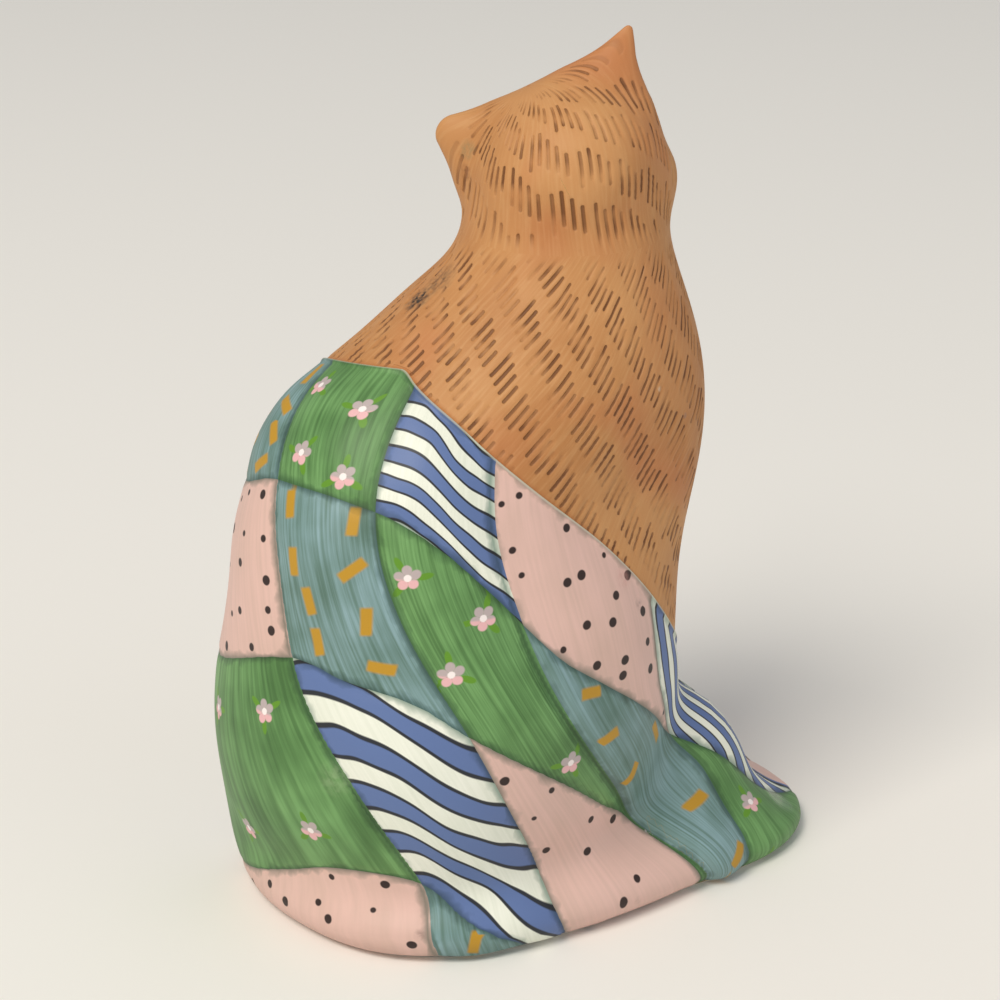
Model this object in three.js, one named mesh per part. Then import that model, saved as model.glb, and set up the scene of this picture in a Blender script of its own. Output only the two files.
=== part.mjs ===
// A porcelain cat figurine that sits wrapped in a patchwork quilt, cast in one piece.
// Millimetres, +Z up. The cat faces -Y, its left side is +X, and it stands on z = 0.
// Angles round the figure start at the front (-Y) and grow towards the cat's left (+X).
//
// The form is a smooth union of soft masses. A grid of columns and rows is laid on it: the
// quilt from the foot to the quilt's edge, the coat from there to the neck, then the head.

import * as THREE from "three";

// Grid laid on the form
const COLUMNS = 80;
const QUILT_ROWS = 18;
const COAT_ROWS = 18;
const HEAD_ROWS = 20;
const BODY_SETTLING_ROUNDS = 50;
const HEAD_SETTLING_ROUNDS = 1;
const LAST_FITTING_ROUNDS = 5;

// Softness of the joins between masses
const BODY_SOFTNESS = 5;
const LEG_SOFTNESS = 2.2;
const HEAD_SOFTNESS = 2.6;
const NECK_SOFTNESS = 3;

// The figure's middle line, from which the columns fan out
const AXIS = [1, -2];

// Masses of the body: centre and half sizes, turn in degrees about X, Y and Z.
// square above 2 squares the plan of a mass.
const BODY_MASSES = {
  rump: { centre: [5.5, 23, 44], half: [43.5, 40, 47] },
  back: { centre: [7, 15, 83], half: [38, 41.5, 42.5], turn: [-8, 0, 0] },
  rightFlank: { centre: [-13, 0, 52], half: [26, 34, 44] },
  leftFlank: { centre: [17, -3, 50], half: [25, 33, 42] },
  withers: { centre: [2, -5, 112], half: [33, 34, 28], turn: [-28, 0, 0] },
  chest: { centre: [-1, -25, 104], half: [27, 21.5, 35], turn: [6, 0, 0] },
  brisket: { centre: [-1, -19, 71], half: [26, 20, 42] },
  leftHaunch: { centre: [24, 17, 20], half: [22, 34, 30] },
  hem: { centre: [1.5, -1.5, 5], half: [43, 57, 13], square: 2.6 },
  rightKnee: { centre: [-21, -34, 10], half: [14, 17, 27] },
  leftKnee: { centre: [21, -31, 12], half: [14, 16, 27] },
  quiltUnderPaws: { centre: [0, -46, 0], half: [24, 18, 3.5] },
  trailingCorner: { centre: [-23, -44.5, 0.5], half: [15, 23, 4], turn: [0, 0, 4] },
  neck: { centre: [-2.5, -17, 137], half: [21.5, 21, 25], turn: [-10, 0, 0] },
};
const LEG_MASSES = {
  rightLeg: { centre: [-9.5, -36, 42], half: [8.5, 9, 44], turn: [-16, 0, 0] },
  leftLeg: { centre: [9.5, -36, 42], half: [8.5, 9, 44], turn: [-16, 0, 0] },
  rightPaw: { centre: [-10, -51, 9], half: [8, 11, 7.5] },
  leftPaw: { centre: [10, -51, 9], half: [8, 11, 7.5] },
};

// The head is turned to the cat's left and rolled the same way. Its own frame has X to the
// cat's left, Y backward and Z up, from the middle of the skull.
const HEAD_CENTRE = [-1, -18, 160];
const HEAD_TURN = 48;
const HEAD_ROLL = 27;
const HEAD_MASSES = {
  skull: { centre: [0, 1, 0], half: [20, 21, 17.5] },
  cheeks: { centre: [0, -5, -9], half: [22.5, 17, 12.5] },
  rightPad: { centre: [-4.2, -22.5, -9.5], half: [5.6, 6, 4.6] },
  leftPad: { centre: [4.2, -22.5, -9.5], half: [5.6, 6, 4.6] },
  bridge: { centre: [0, -19, -3.5], half: [4.6, 8, 5.5], turn: [25, 0, 0] },
  chin: { centre: [0, -19.5, -14], half: [4.6, 5.5, 3.8] },
};

// Ears are round cones, flattened front to back. lean tips them outward.
const EARS = {
  right: { root: [-11.5, -1, 8], lean: -41, length: 18.5, rootRadius: 8.5, tipRadius: 1, flatness: 1.8 },
  left: { root: [12.5, -1, 7], lean: 42, length: 12, rootRadius: 10, tipRadius: 3.4, flatness: 1.9 },
};

// Dabs pressed into or laid on the face: place in the head's frame, reach and height
const FACE_DABS = {
  rightSocket: { at: [-8.4, -17.5, 0.5], reach: 4.2, height: -1.5 },
  leftSocket: { at: [8.4, -17.5, 0.5], reach: 4.2, height: -1.5 },
  rightEye: { at: [-8.4, -18, 0.3], reach: 2.8, height: 1 },
  leftEye: { at: [8.4, -18, 0.3], reach: 2.8, height: 1 },
  nose: { at: [0, -28.5, -6.5], reach: 2, height: 0.9 },
  lipCleft: { at: [0, -28.5, -11.5], reach: 2.2, height: -1.2 },
  rightEarHollow: { at: [-18.5, -5.5, 13.5], reach: 5, height: -2.2 },
  leftEarHollow: { at: [18.5, -6, 12], reach: 5, height: -2.2 },
};

// The quilt's upper edge: angle round the figure, height
const QUILT_EDGE = [
  [0, 5], [18, 6], [36, 22], [54, 52], [75, 80], [100, 101], [125, 114], [150, 121], [186, 124],
  [195, 122], [213, 116], [227, 109], [245, 99], [265, 88], [277, 80], [286, 73], [292, 66],
  [300, 56], [312, 42], [324, 24], [336, 9], [350, 5],
];
const QUILT_THICKNESS = 1.4;

// The neck ring parts coat rows from head rows
const NECK_RING_HEIGHT = 146;

// Underside: a small round-over at the foot, and the casting's vent hole, blind here
const FOOT_ROUNDING = 1.2;
const VENT_RADIUS = 4.5;
const VENT_DEPTH = 4;

// Seams that run round the quilt, each a height by angle, and seams that run down it, each an
// angle by height. The patches between them are softly padded.
const ROUND_SEAMS = [
  [[0, -10], [30, -6], [50, 22], [75, 48], [100, 70], [125, 85], [157, 97], [172, 102], [198, 100],
    [213, 93], [226, 83], [245, 67], [259, 59], [276, 50], [298, 38], [314, 28], [330, 2], [345, -8]],
  [[0, -30], [40, -12], [70, 14], [100, 34], [130, 48], [157, 57], [183, 67], [196, 65], [211, 61],
    [222, 54], [245, 39], [263, 28], [286, 16], [300, -4], [330, -25]],
  [[0, -50], [60, -30], [110, -8], [140, 2], [161, 7], [178, 14], [190, 19], [201, 20], [210, 18],
    [219, 11], [235, 2], [260, -14], [300, -40]],
];
const DOWN_SEAMS = [
  [[0, 150], [60, 147], [125, 146]],
  [[0, 215], [18, 210], [42, 199], [67, 183], [91, 176], [125, 171]],
  [[0, 248], [29, 234], [54, 222], [78, 206], [100, 198], [125, 195]],
  [[0, 299], [16, 286], [38, 260], [56, 245], [75, 234], [97, 226], [125, 227]],
  [[0, 307], [24, 310], [37, 303], [52, 289], [73, 286], [125, 284]],
  [[0, 338], [40, 332], [125, 330]],
  [[0, 385], [40, 388], [125, 392]],
  [[0, 408], [40, 414], [125, 428]],
  [[0, 458], [60, 462], [125, 466]],
];
const PADDING = 1.2;
const SEAM_REACH = 0.22;

const COAT_COLOUR = 0xd9985c;

const radians = THREE.MathUtils.degToRad;

// A cubic curve through points in rising order; round closes it over 360 degrees.
function curve(points, at, round) {
  const count = points.length;
  const point = (k) => {
    if (!round) return points[Math.min(count - 1, Math.max(0, k))];
    const turns = Math.floor(k / count);
    const [x, y] = points[k - turns * count];
    return [x + 360 * turns, y];
  };
  const x = round ? at - 360 * Math.floor((at - points[0][0]) / 360) : at;
  let k = 0;
  while (k < count - 1 && point(k + 1)[0] <= x) k += 1;
  if (!round) {
    if (x <= points[0][0]) return points[0][1];
    if (x >= points[count - 1][0]) return points[count - 1][1];
  }
  const [x0, y0] = point(k - 1);
  const [x1, y1] = point(k);
  const [x2, y2] = point(k + 1);
  const [x3, y3] = point(k + 2);
  const span = x2 - x1;
  const slope1 = ((y2 - y0) / (x2 - x0)) * span;
  const slope2 = ((y3 - y1) / (x3 - x1)) * span;
  const t = (x - x1) / span;
  const rise = t * t * (3 - 2 * t);
  return y1 * (1 - rise) + y2 * rise + slope1 * t * (1 - t) ** 2 - slope2 * t * t * (1 - t);
}

const edgeHeight = (angle) => curve(QUILT_EDGE, angle, true);

function turned([x, y, z]) {
  return new THREE.Matrix4().makeRotationFromEuler(
    new THREE.Euler(radians(x), radians(y), radians(z), "ZYX"));
}

// The place of a point in a mass's own unturned frame
function placeIn(frame, x, y, z) {
  const e = frame.unturn.elements;
  const dx = x - frame.middle.x;
  const dy = y - frame.middle.y;
  const dz = z - frame.middle.z;
  return [
    e[0] * dx + e[4] * dy + e[8] * dz,
    e[1] * dx + e[5] * dy + e[9] * dz,
    e[2] * dx + e[6] * dy + e[10] * dz,
  ];
}

// Distance to an ellipsoid, near enough close to its surface and below zero inside
function massDistance(mass, px, py, pz) {
  const [qx, qy, qz] = placeIn(mass, px, py, pz);
  const x = Math.abs(qx / mass.size.x) + 1e-9;
  const y = Math.abs(qy / mass.size.y) + 1e-9;
  const z = qz / mass.size.z;
  const n = mass.square;
  const plan = n === 2 ? Math.sqrt(x * x + y * y) : (x ** n + y ** n) ** (1 / n);
  const reach = Math.sqrt(plan * plan + z * z);
  const slopeX = ((x / plan) ** (n - 2) * x) / mass.size.x;
  const slopeY = ((y / plan) ** (n - 2) * y) / mass.size.y;
  const slopeZ = z / mass.size.z;
  return ((reach - 1) * reach) / Math.sqrt(slopeX * slopeX + slopeY * slopeY + slopeZ * slopeZ);
}

function prepared(masses) {
  return Object.values(masses).map(({ centre, half, turn = [0, 0, 0], square = 2 }) => ({
    middle: new THREE.Vector3(...centre),
    size: new THREE.Vector3(...half),
    unturn: turned(turn).invert(),
    square,
  }));
}

// Distance to a flattened round cone that stands on its root and leans
function earDistance(ear, px, py, pz) {
  const [qx, qy, qz] = placeIn(ear, px, py, pz);
  const across = Math.hypot(qx, qy * ear.flatness);
  const taper = (ear.rootRadius - ear.tipRadius) / ear.length;
  const cosine = Math.sqrt(1 - taper * taper);
  const along = cosine * qz - taper * across;
  let distance = cosine * across + taper * qz - ear.rootRadius;
  if (along < 0) distance = Math.hypot(across, qz) - ear.rootRadius;
  if (along > cosine * ear.length) distance = Math.hypot(across, qz - ear.length) - ear.tipRadius;
  return distance / Math.sqrt(ear.flatness);
}

// Smooth union: the nearest mass counts, and masses that meet swell into each other.
function smoothUnion(distances, softness) {
  let nearest = Infinity;
  for (const distance of distances) nearest = Math.min(nearest, distance);
  let sum = 0;
  for (const distance of distances) sum += Math.exp((nearest - distance) / softness);
  return nearest - softness * Math.log(sum);
}

const bodyMasses = prepared(BODY_MASSES);
const legMasses = prepared(LEG_MASSES);
const headMasses = prepared(HEAD_MASSES);
const ears = Object.values(EARS).map((ear) => ({
  ...ear,
  middle: new THREE.Vector3(...ear.root),
  unturn: turned([0, ear.lean, 0]).invert(),
}));
const headTurn = turned([0, 0, HEAD_TURN]).multiply(turned([0, HEAD_ROLL, 0]));
const head = { middle: new THREE.Vector3(...HEAD_CENTRE), unturn: headTurn.clone().invert() };

// The whole form as a distance: zero on the surface, below zero inside
function form(x, y, z) {
  const body = smoothUnion(bodyMasses.map((mass) => massDistance(mass, x, y, z)), BODY_SOFTNESS);
  const legs = smoothUnion(legMasses.map((mass) => massDistance(mass, x, y, z)), LEG_SOFTNESS);
  const trunk = smoothUnion([body, legs], LEG_SOFTNESS);
  const q = placeIn(head, x, y, z);
  const headParts = headMasses.map((mass) => massDistance(mass, ...q));
  headParts.push(...ears.map((ear) => earDistance(ear, ...q)));
  return smoothUnion([trunk, smoothUnion(headParts, HEAD_SOFTNESS)], NECK_SOFTNESS);
}

const GRADIENT_STEP = 0.05;

function gradient(p, value) {
  return new THREE.Vector3(
    form(p.x + GRADIENT_STEP, p.y, p.z) - value,
    form(p.x, p.y + GRADIENT_STEP, p.z) - value,
    form(p.x, p.y, p.z + GRADIENT_STEP) - value,
  ).divideScalar(GRADIENT_STEP);
}

// One step of p towards the surface; level keeps the height.
const LONGEST_STEP = 3;

function drawOnto(p, level) {
  const value = form(p.x, p.y, p.z);
  const g = gradient(p, value);
  if (level) g.z = 0;
  const steepness = Math.max(g.lengthSq(), 0.05);
  p.addScaledVector(g, THREE.MathUtils.clamp(-value / steepness, -LONGEST_STEP, LONGEST_STEP));
}

// The outermost point of the form along a ray from an inner point
const OUTSIDE_REACH = 110;

function castRay(from, direction) {
  const p = from.clone().addScaledVector(direction, OUTSIDE_REACH);
  for (let k = 0; k < 60; k += 1) {
    const distance = form(p.x, p.y, p.z);
    if (distance < 0.02) break;
    p.addScaledVector(direction, -Math.max(0.6 * distance, 0.02));
  }
  return p;
}

const fan = (column) => {
  const angle = radians((360 * column) / COLUMNS);
  return new THREE.Vector3(Math.sin(angle), -Math.cos(angle), 0);
};
const angleOf = (p) => (THREE.MathUtils.radToDeg(Math.atan2(p.x - AXIS[0], AXIS[1] - p.y)) + 360) % 360;

// Rows held in place: the foot, the quilt's edge and the neck ring. Each settles along itself.
const EDGE_ROW = QUILT_ROWS;
const NECK_ROW = QUILT_ROWS + COAT_ROWS;
const CROWN_ROW = NECK_ROW + HEAD_ROWS;
const heldHeight = {
  0: () => 0,
  [EDGE_ROW]: (p) => edgeHeight(angleOf(p)),
  [NECK_ROW]: () => NECK_RING_HEIGHT,
};

// Directions from the head's middle gather round each ear, so that the ears are well covered.
const EAR_GATHERING_ANGLE = radians(40);
const EAR_GATHERING = 1;

function gatheredOnEars(direction) {
  for (const tip of ears.map(earTip)) {
    const towards = tip.sub(head.middle).normalize();
    const angle = towards.angleTo(direction);
    if (angle > 1e-4 && angle < EAR_GATHERING_ANGLE) {
      const swing = new THREE.Vector3().crossVectors(towards, direction).normalize();
      const nearer = angle * (angle / EAR_GATHERING_ANGLE) ** EAR_GATHERING;
      direction.copy(towards).applyAxisAngle(swing, nearer);
    }
  }
  return direction;
}

function firstGrid() {
  const up = new THREE.Vector3(...headTurn.elements.slice(8, 11));
  const rows = Array.from({ length: CROWN_ROW + 1 }, () => []);
  for (let column = 0; column < COLUMNS; column += 1) {
    const outward = fan(column);
    const edge = edgeHeight((360 * column) / COLUMNS);
    for (let row = 0; row <= EDGE_ROW; row += 1) {
      const height = (edge * row) / QUILT_ROWS;
      rows[row].push(castRay(new THREE.Vector3(...AXIS, height), outward));
    }
    const ring = castRay(new THREE.Vector3(head.middle.x, head.middle.y, NECK_RING_HEIGHT), outward);
    for (let row = EDGE_ROW + 1; row <= NECK_ROW; row += 1) {
      rows[row].push(rows[EDGE_ROW][column].clone().lerp(ring, (row - EDGE_ROW) / COAT_ROWS));
    }
    const start = ring.clone().sub(head.middle).normalize();
    const swing = new THREE.Vector3().crossVectors(start, up).normalize();
    const opening = start.angleTo(up);
    for (let row = NECK_ROW + 1; row < CROWN_ROW; row += 1) {
      const direction = start.clone().applyAxisAngle(swing, (opening * (row - NECK_ROW)) / HEAD_ROWS);
      rows[row].push(castRay(head.middle, gatheredOnEars(direction)));
    }
  }
  rows[CROWN_ROW] = Array(COLUMNS).fill(castRay(head.middle, up));
  return rows;
}

// Rows lie closer together from the quilt's edge up than below the neck, for the paws' sake.
const rowSpacing = (row) => (row >= EDGE_ROW && row < NECK_ROW ? 1 + (row - EDGE_ROW) / COAT_ROWS : 1);

// The tip of an ear, where one point of the grid is kept
function earTip(ear) {
  const tip = new THREE.Vector3(0, 0, ear.length + ear.tipRadius);
  tip.applyMatrix4(ear.unturn.clone().invert()).add(ear.middle);
  return tip.applyMatrix4(headTurn).add(head.middle);
}

function keepEarTips(rows) {
  const kept = new Set();
  for (const tip of ears.map(earTip)) {
    const headPoints = rows.slice(NECK_ROW + 1, CROWN_ROW).flat();
    const closest = headPoints.reduce((best, p) => (
      p.distanceToSquared(tip) < best.distanceToSquared(tip) ? p : best));
    closest.copy(tip);
    kept.add(closest);
  }
  return kept;
}

// The middle of a point's neighbours, those above and below counting double
function neighboursMiddle(rows, row, column) {
  const nextTo = (step) => rows[row][(column + COLUMNS + step) % COLUMNS];
  const middle = nextTo(-1).clone().add(nextTo(1));
  if (heldHeight[row]) return middle.multiplyScalar(0.5);
  const below = rowSpacing(row) / (rowSpacing(row - 1) + rowSpacing(row));
  middle.addScaledVector(rows[row - 1][column], 4 * below);
  middle.addScaledVector(rows[row + 1][column], 4 * (1 - below));
  return middle.multiplyScalar(1 / 6);
}

// Each point moves to the middle of its neighbours and back onto the form, until the grid is even.
function settle(rows) {
  const kept = keepEarTips(rows);
  for (let round = 0; round < BODY_SETTLING_ROUNDS + LAST_FITTING_ROUNDS; round += 1) {
    const before = rows.map((points) => points.map((p) => p.clone()));
    for (let row = 0; row < CROWN_ROW; row += 1) {
      const held = heldHeight[row];
      const moving = round < (row > NECK_ROW ? HEAD_SETTLING_ROUNDS : BODY_SETTLING_ROUNDS);
      for (let column = 0; column < COLUMNS; column += 1) {
        const p = rows[row][column];
        if (kept.has(p)) continue;
        if (moving) p.copy(neighboursMiddle(before, row, column));
        if (held) p.z = held(p);
        drawOnto(p, Boolean(held));
      }
    }
  }
  const crown = rows[CROWN_ROW][0].clone();
  drawOnto(crown, false);
  rows[CROWN_ROW].fill(crown);
}

// Place on the quilt counted in patches: across (from the down seams) and down from the edge
function patchPlace(p) {
  const angle = angleOf(p);
  const downSeams = DOWN_SEAMS.map((seam) => curve(seam, p.z, false));
  downSeams.push(downSeams[0] + 360);
  const wrapped = angle < downSeams[0] ? angle + 360 : angle;
  let k = 0;
  while (k < DOWN_SEAMS.length - 1 && wrapped >= downSeams[k + 1]) k += 1;
  const across = k + (wrapped - downSeams[k]) / (downSeams[k + 1] - downSeams[k]);
  const heights = [edgeHeight(angle), ...ROUND_SEAMS.map((seam) => curve(seam, angle, true))];
  let row = 0;
  while (row < ROUND_SEAMS.length && p.z < heights[row + 1]) row += 1;
  const lower = row < ROUND_SEAMS.length ? heights[row + 1] : heights[row] - 40;
  const down = row + (heights[row] - p.z) / (heights[row] - lower);
  return [across, down];
}

// Padding of the patches: full in the middle, drawn down along the seams
function padding(p) {
  const [across, down] = patchPlace(p);
  const rise = (place) => {
    const toSeam = Math.abs(place - Math.round(place)) / SEAM_REACH;
    return 1 - Math.exp(-toSeam * toSeam);
  };
  return PADDING * (rise(across) * rise(down) - 1);
}

function faceRelief(p) {
  const q = new THREE.Vector3(...placeIn(head, p.x, p.y, p.z));
  return Object.values(FACE_DABS).reduce((sum, { at, reach, height }) => {
    const distance = q.distanceTo(new THREE.Vector3(...at));
    return sum + height * Math.exp(-((distance / reach) ** 2));
  }, 0);
}

function raised(p, offset) {
  const normal = gradient(p, form(p.x, p.y, p.z)).normalize();
  return p.clone().addScaledVector(normal, offset);
}

// Rows of the finished skin, from the underside's middle to the crown
function skinRows() {
  const rows = firstGrid();
  settle(rows);
  const circle = (height) => rows[0].map((foot, column) => fan(column)
    .multiplyScalar(VENT_RADIUS).add(new THREE.Vector3(...AXIS, height)));
  const inward = (p, distance) => p.clone().sub(new THREE.Vector3(...AXIS, p.z))
    .setLength(distance).negate().add(p);
  const skin = [circle(VENT_DEPTH), circle(0)];
  skin.push(rows[0].map((p) => inward(p, FOOT_ROUNDING)));
  skin.push(rows[0].map((p) => p.clone().setZ(FOOT_ROUNDING)));
  for (let row = 1; row <= EDGE_ROW; row += 1) {
    skin.push(rows[row].map((p) => {
      const lifted = raised(p, QUILT_THICKNESS + padding(p));
      lifted.z = Math.max(lifted.z, FOOT_ROUNDING * (1 + row / EDGE_ROW));
      return lifted;
    }));
  }
  for (let row = EDGE_ROW; row < CROWN_ROW; row += 1) {
    skin.push(rows[row].map((p) => raised(p, faceRelief(p))));
  }
  return { skin, crown: rows[CROWN_ROW][0] };
}

function skinGeometry() {
  const { skin, crown } = skinRows();
  const points = skin.flat();
  const centre = new THREE.Vector3();
  new THREE.Box3().setFromPoints(points).getCenter(centre);
  const ventTop = points.length;
  points.push(new THREE.Vector3(...AXIS, VENT_DEPTH));
  const crownPoint = points.length;
  points.push(crown);
  const faces = [];
  const index = (row, column) => row * COLUMNS + (column % COLUMNS);
  for (let column = 0; column < COLUMNS; column += 1) {
    faces.push(ventTop, index(0, column + 1), index(0, column));
    for (let row = 0; row < skin.length - 1; row += 1) {
      const [a, b] = [index(row, column), index(row, column + 1)];
      const [c, d] = [index(row + 1, column + 1), index(row + 1, column)];
      faces.push(a, b, c, a, c, d);
    }
    const top = skin.length - 1;
    faces.push(index(top, column), index(top, column + 1), crownPoint);
  }
  const geometry = new THREE.BufferGeometry();
  geometry.setAttribute("position", new THREE.Float32BufferAttribute(
    points.flatMap((p) => [p.x - centre.x, p.y - centre.y, p.z]), 3));
  geometry.setIndex(faces);
  geometry.computeVertexNormals();
  return geometry;
}

function catFigurine() {
  const material = new THREE.MeshStandardMaterial({ color: COAT_COLOUR, roughness: 0.55, metalness: 0 });
  const mesh = new THREE.Mesh(skinGeometry(), material);
  mesh.name = "cat_figurine";
  return mesh;
}

const figurine = new THREE.Group();
figurine.add(catFigurine());

export default figurine;
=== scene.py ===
"""A bisque porcelain cat figurine, wrapped in a patchwork quilt, seen from behind its right side."""

import math

import bpy
import numpy as np
from bpy.props import FloatProperty, FloatVectorProperty, PointerProperty
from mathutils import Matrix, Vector


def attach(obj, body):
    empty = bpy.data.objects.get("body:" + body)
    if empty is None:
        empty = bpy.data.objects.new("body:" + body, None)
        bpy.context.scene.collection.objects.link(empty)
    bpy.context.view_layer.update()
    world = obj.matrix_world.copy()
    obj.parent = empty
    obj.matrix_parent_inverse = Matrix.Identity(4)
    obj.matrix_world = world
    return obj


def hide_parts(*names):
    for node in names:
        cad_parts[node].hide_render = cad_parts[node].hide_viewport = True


bl_info = {
    "name": "Porcelain cat in a patchwork quilt",
    "version": (1, 0, 0),
    "blender": (4, 5, 0),
    "location": "View3D > Sidebar > Cat figurine",
    "description": "Makes a painted bisque porcelain cat wrapped in a quilt, and its stage",
    "category": "Object",
}

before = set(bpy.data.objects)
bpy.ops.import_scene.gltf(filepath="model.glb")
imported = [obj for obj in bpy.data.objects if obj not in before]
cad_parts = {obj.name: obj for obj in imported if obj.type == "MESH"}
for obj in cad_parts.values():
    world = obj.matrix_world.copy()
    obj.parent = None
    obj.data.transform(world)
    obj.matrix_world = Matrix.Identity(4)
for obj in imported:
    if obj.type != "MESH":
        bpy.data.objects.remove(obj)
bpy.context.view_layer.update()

MM = 0.001
NODE = "cat_figurine"
FULL_TURN = 360.0

# The form is worked out in millimetres. The cat's body faces -Y and its left side is +X.
# Angles start at the front and grow towards the cat's left.
AXIS = np.array([1.0, -2.0])

BODY_SOFTNESS = 5.0
LEG_SOFTNESS = 2.2
HEAD_SOFTNESS = 2.6
NECK_SOFTNESS = 3.0

# Masses: centre, half sizes, turn in degrees about X, Y and Z, squareness of the plan
BODY_MASSES = {
    "rump": ((5.5, 23, 44), (43.5, 40, 47), (0, 0, 0), 2),
    "back": ((7, 15, 83), (38, 41.5, 42.5), (-8, 0, 0), 2),
    "right flank": ((-13, 1, 52), (26, 32.5, 44), (0, 0, 0), 2),
    "left flank": ((17, -3, 50), (25, 33, 42), (0, 0, 0), 2),
    "withers": ((2, -5, 112), (33, 34, 28), (-28, 0, 0), 2),
    "chest": ((-1, -25, 104), (27, 21.5, 35), (6, 0, 0), 2),
    "brisket": ((0, -18.5, 80), (26, 20, 36), (0, 0, 0), 2),
    "left haunch": ((24, 17, 20), (22, 34, 30), (0, 0, 0), 2),
    "hem": ((1.5, -1.5, 5), (43, 57, 13), (0, 0, 0), 2.6),
    "right knee": ((-21, -34, 10), (14, 17, 27), (0, 0, 0), 2),
    "left knee": ((21, -31, 12), (14, 16, 27), (0, 0, 0), 2),
    "quilt under paws": ((0, -46, 0), (24, 18, 3.5), (0, 0, 0), 2),
    "trailing corner": ((-23, -44.5, 0.5), (15, 23, 4), (0, 0, 4), 2),
    "neck": ((-2.5, -17, 137), (21.5, 21, 25), (-10, 0, 0), 2),
}
LEG_MASSES = {
    "right leg": ((-8.5, -31.5, 42), (8.5, 9, 44), (-20, 0, 0), 2),
    "left leg": ((9.5, -33, 42), (8.5, 9, 44), (-20, 0, 0), 2),
    "right paw": ((-10, -51, 9), (8, 11, 7.5), (0, 0, 0), 2),
    "left paw": ((10, -51, 9), (8, 11, 7.5), (0, 0, 0), 2),
}

# The head's own frame has X to the cat's left, Y backward and Z up, from the skull's middle.
HEAD_CENTRE = np.array([-1.0, -18.0, 160.0])
HEAD_TURN = 48.0
HEAD_ROLL = 27.0
HEAD_MASSES = {
    "skull": ((0, 1, 0), (20, 21, 17.5), (0, 0, 0), 2),
    "cheeks": ((1.5, -5, -10.5), (21, 17, 12.5), (0, 0, 0), 2),
    "right pad": ((-4.2, -22.5, -9.5), (5.6, 6, 4.6), (0, 0, 0), 2),
    "left pad": ((4.2, -22.5, -9.5), (5.6, 6, 4.6), (0, 0, 0), 2),
    "bridge": ((0, -19, -3.5), (4.6, 8, 5.5), (25, 0, 0), 2),
    "chin": ((0, -19.5, -14), (4.6, 5.5, 3.8), (0, 0, 0), 2),
}
# Ears: root, lean outward, length, root radius, tip radius, flatness
EARS = {
    "right": ((-11.5, -1, 8), -47, 17.2, 9.6, 1.0, 1.8),
    "left": ((12.5, -1, 8), 38, 10, 10.4, 4.4, 1.9),
}
# Dabs pressed into or laid on the face: place in the head's frame, reach and height
FACE_DABS = {
    "right socket": ((-8.4, -17.5, 0.5), 4.2, -1.5),
    "left socket": ((8.4, -17.5, 0.5), 4.2, -1.5),
    "right eye": ((-8.4, -18, 0.3), 2.8, 1.0),
    "left eye": ((8.4, -18, 0.3), 2.8, 1.0),
    "nose": ((0, -28.5, -6.5), 2.0, 0.9),
    "lip cleft": ((0, -28.5, -11.5), 2.2, -1.2),
    "right ear hollow": ((-18.5, -5.5, 13.5), 5.0, -2.2),
    "left ear hollow": ((18.5, -6, 12), 5.0, -2.2),
}

# Middle of the face in the head's frame. Behind the back of the head's start the face's map is
# moved away, so that its paint stays in front.
MUZZLE = (0, -24, -3)
BACK_OF_HEAD = -8.0
AWAY_FROM_FACE = 60.0

# The quilt's upper edge: angle round the figure, height
QUILT_EDGE = [
    (0, 5), (18, 6), (36, 22), (54, 52), (75, 80), (100, 101), (125, 114), (150, 121),
    (186, 124), (195, 122), (213, 116), (227, 109), (245, 99), (265, 88), (277, 80), (286, 73),
    (292, 68), (300, 62), (312, 55), (324, 46), (336, 31), (348, 12),
]
NECK_RING_HEIGHT = 146.0

# Creases on the cat's front, seen from there: from and to as x and z, depth and reach in
# millimetres. Those below zero swell out: the paws.
FRONT_CREASES = {
    "between the legs": ((0, 4), (0, 78), 4.6, 2.4),
    "beside the right leg": ((-16, 36), (-13, 80), 3.0, 2.8),
    "beside the left leg": ((17, 32), (13, 80), 3.0, 2.8),
    "right paw": ((-9.0, 7), (-9.0, 10), -3.2, 5.6),
    "left paw": ((9.5, 7), (9.5, 10), -3.2, 5.6),
    "right paw's outer toe": ((-11.5, 4), (-11.5, 11), 1.7, 0.9),
    "right paw's inner toe": ((-6.8, 4), (-6.8, 11), 1.7, 0.9),
    "left paw's outer toe": ((12.0, 4), (12.0, 11), 1.7, 0.9),
    "left paw's inner toe": ((7.2, 4), (7.2, 11), 1.7, 0.9),
}
# Where they begin in front of the form's middle, and over how much they grow, from there and
# from the quilt's edge
FRONT_START = 20.0
FRONT_GROWTH = 6.0
FRONT_BY_QUILT = 3.0

# Seams that run round the quilt: angle, height
ROUND_SEAMS = [
    [(0, -10), (30, -6), (50, 22), (75, 48), (100, 70), (125, 85), (157, 97), (172, 102),
     (198, 100), (213, 93), (226, 83), (245, 67), (259, 59), (276, 50), (298, 38), (314, 28),
     (330, 9), (345, 0)],
    [(0, -30), (40, -12), (70, 14), (100, 34), (130, 48), (157, 57), (183, 67), (196, 65),
     (211, 61), (222, 54), (245, 39), (263, 28), (286, 16), (300, -4), (330, -25)],
    [(0, -50), (60, -30), (110, -8), (140, 2), (161, 7), (178, 14), (190, 19), (201, 20),
     (210, 18), (219, 11), (235, 2), (260, -14), (300, -40)],
]
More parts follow.
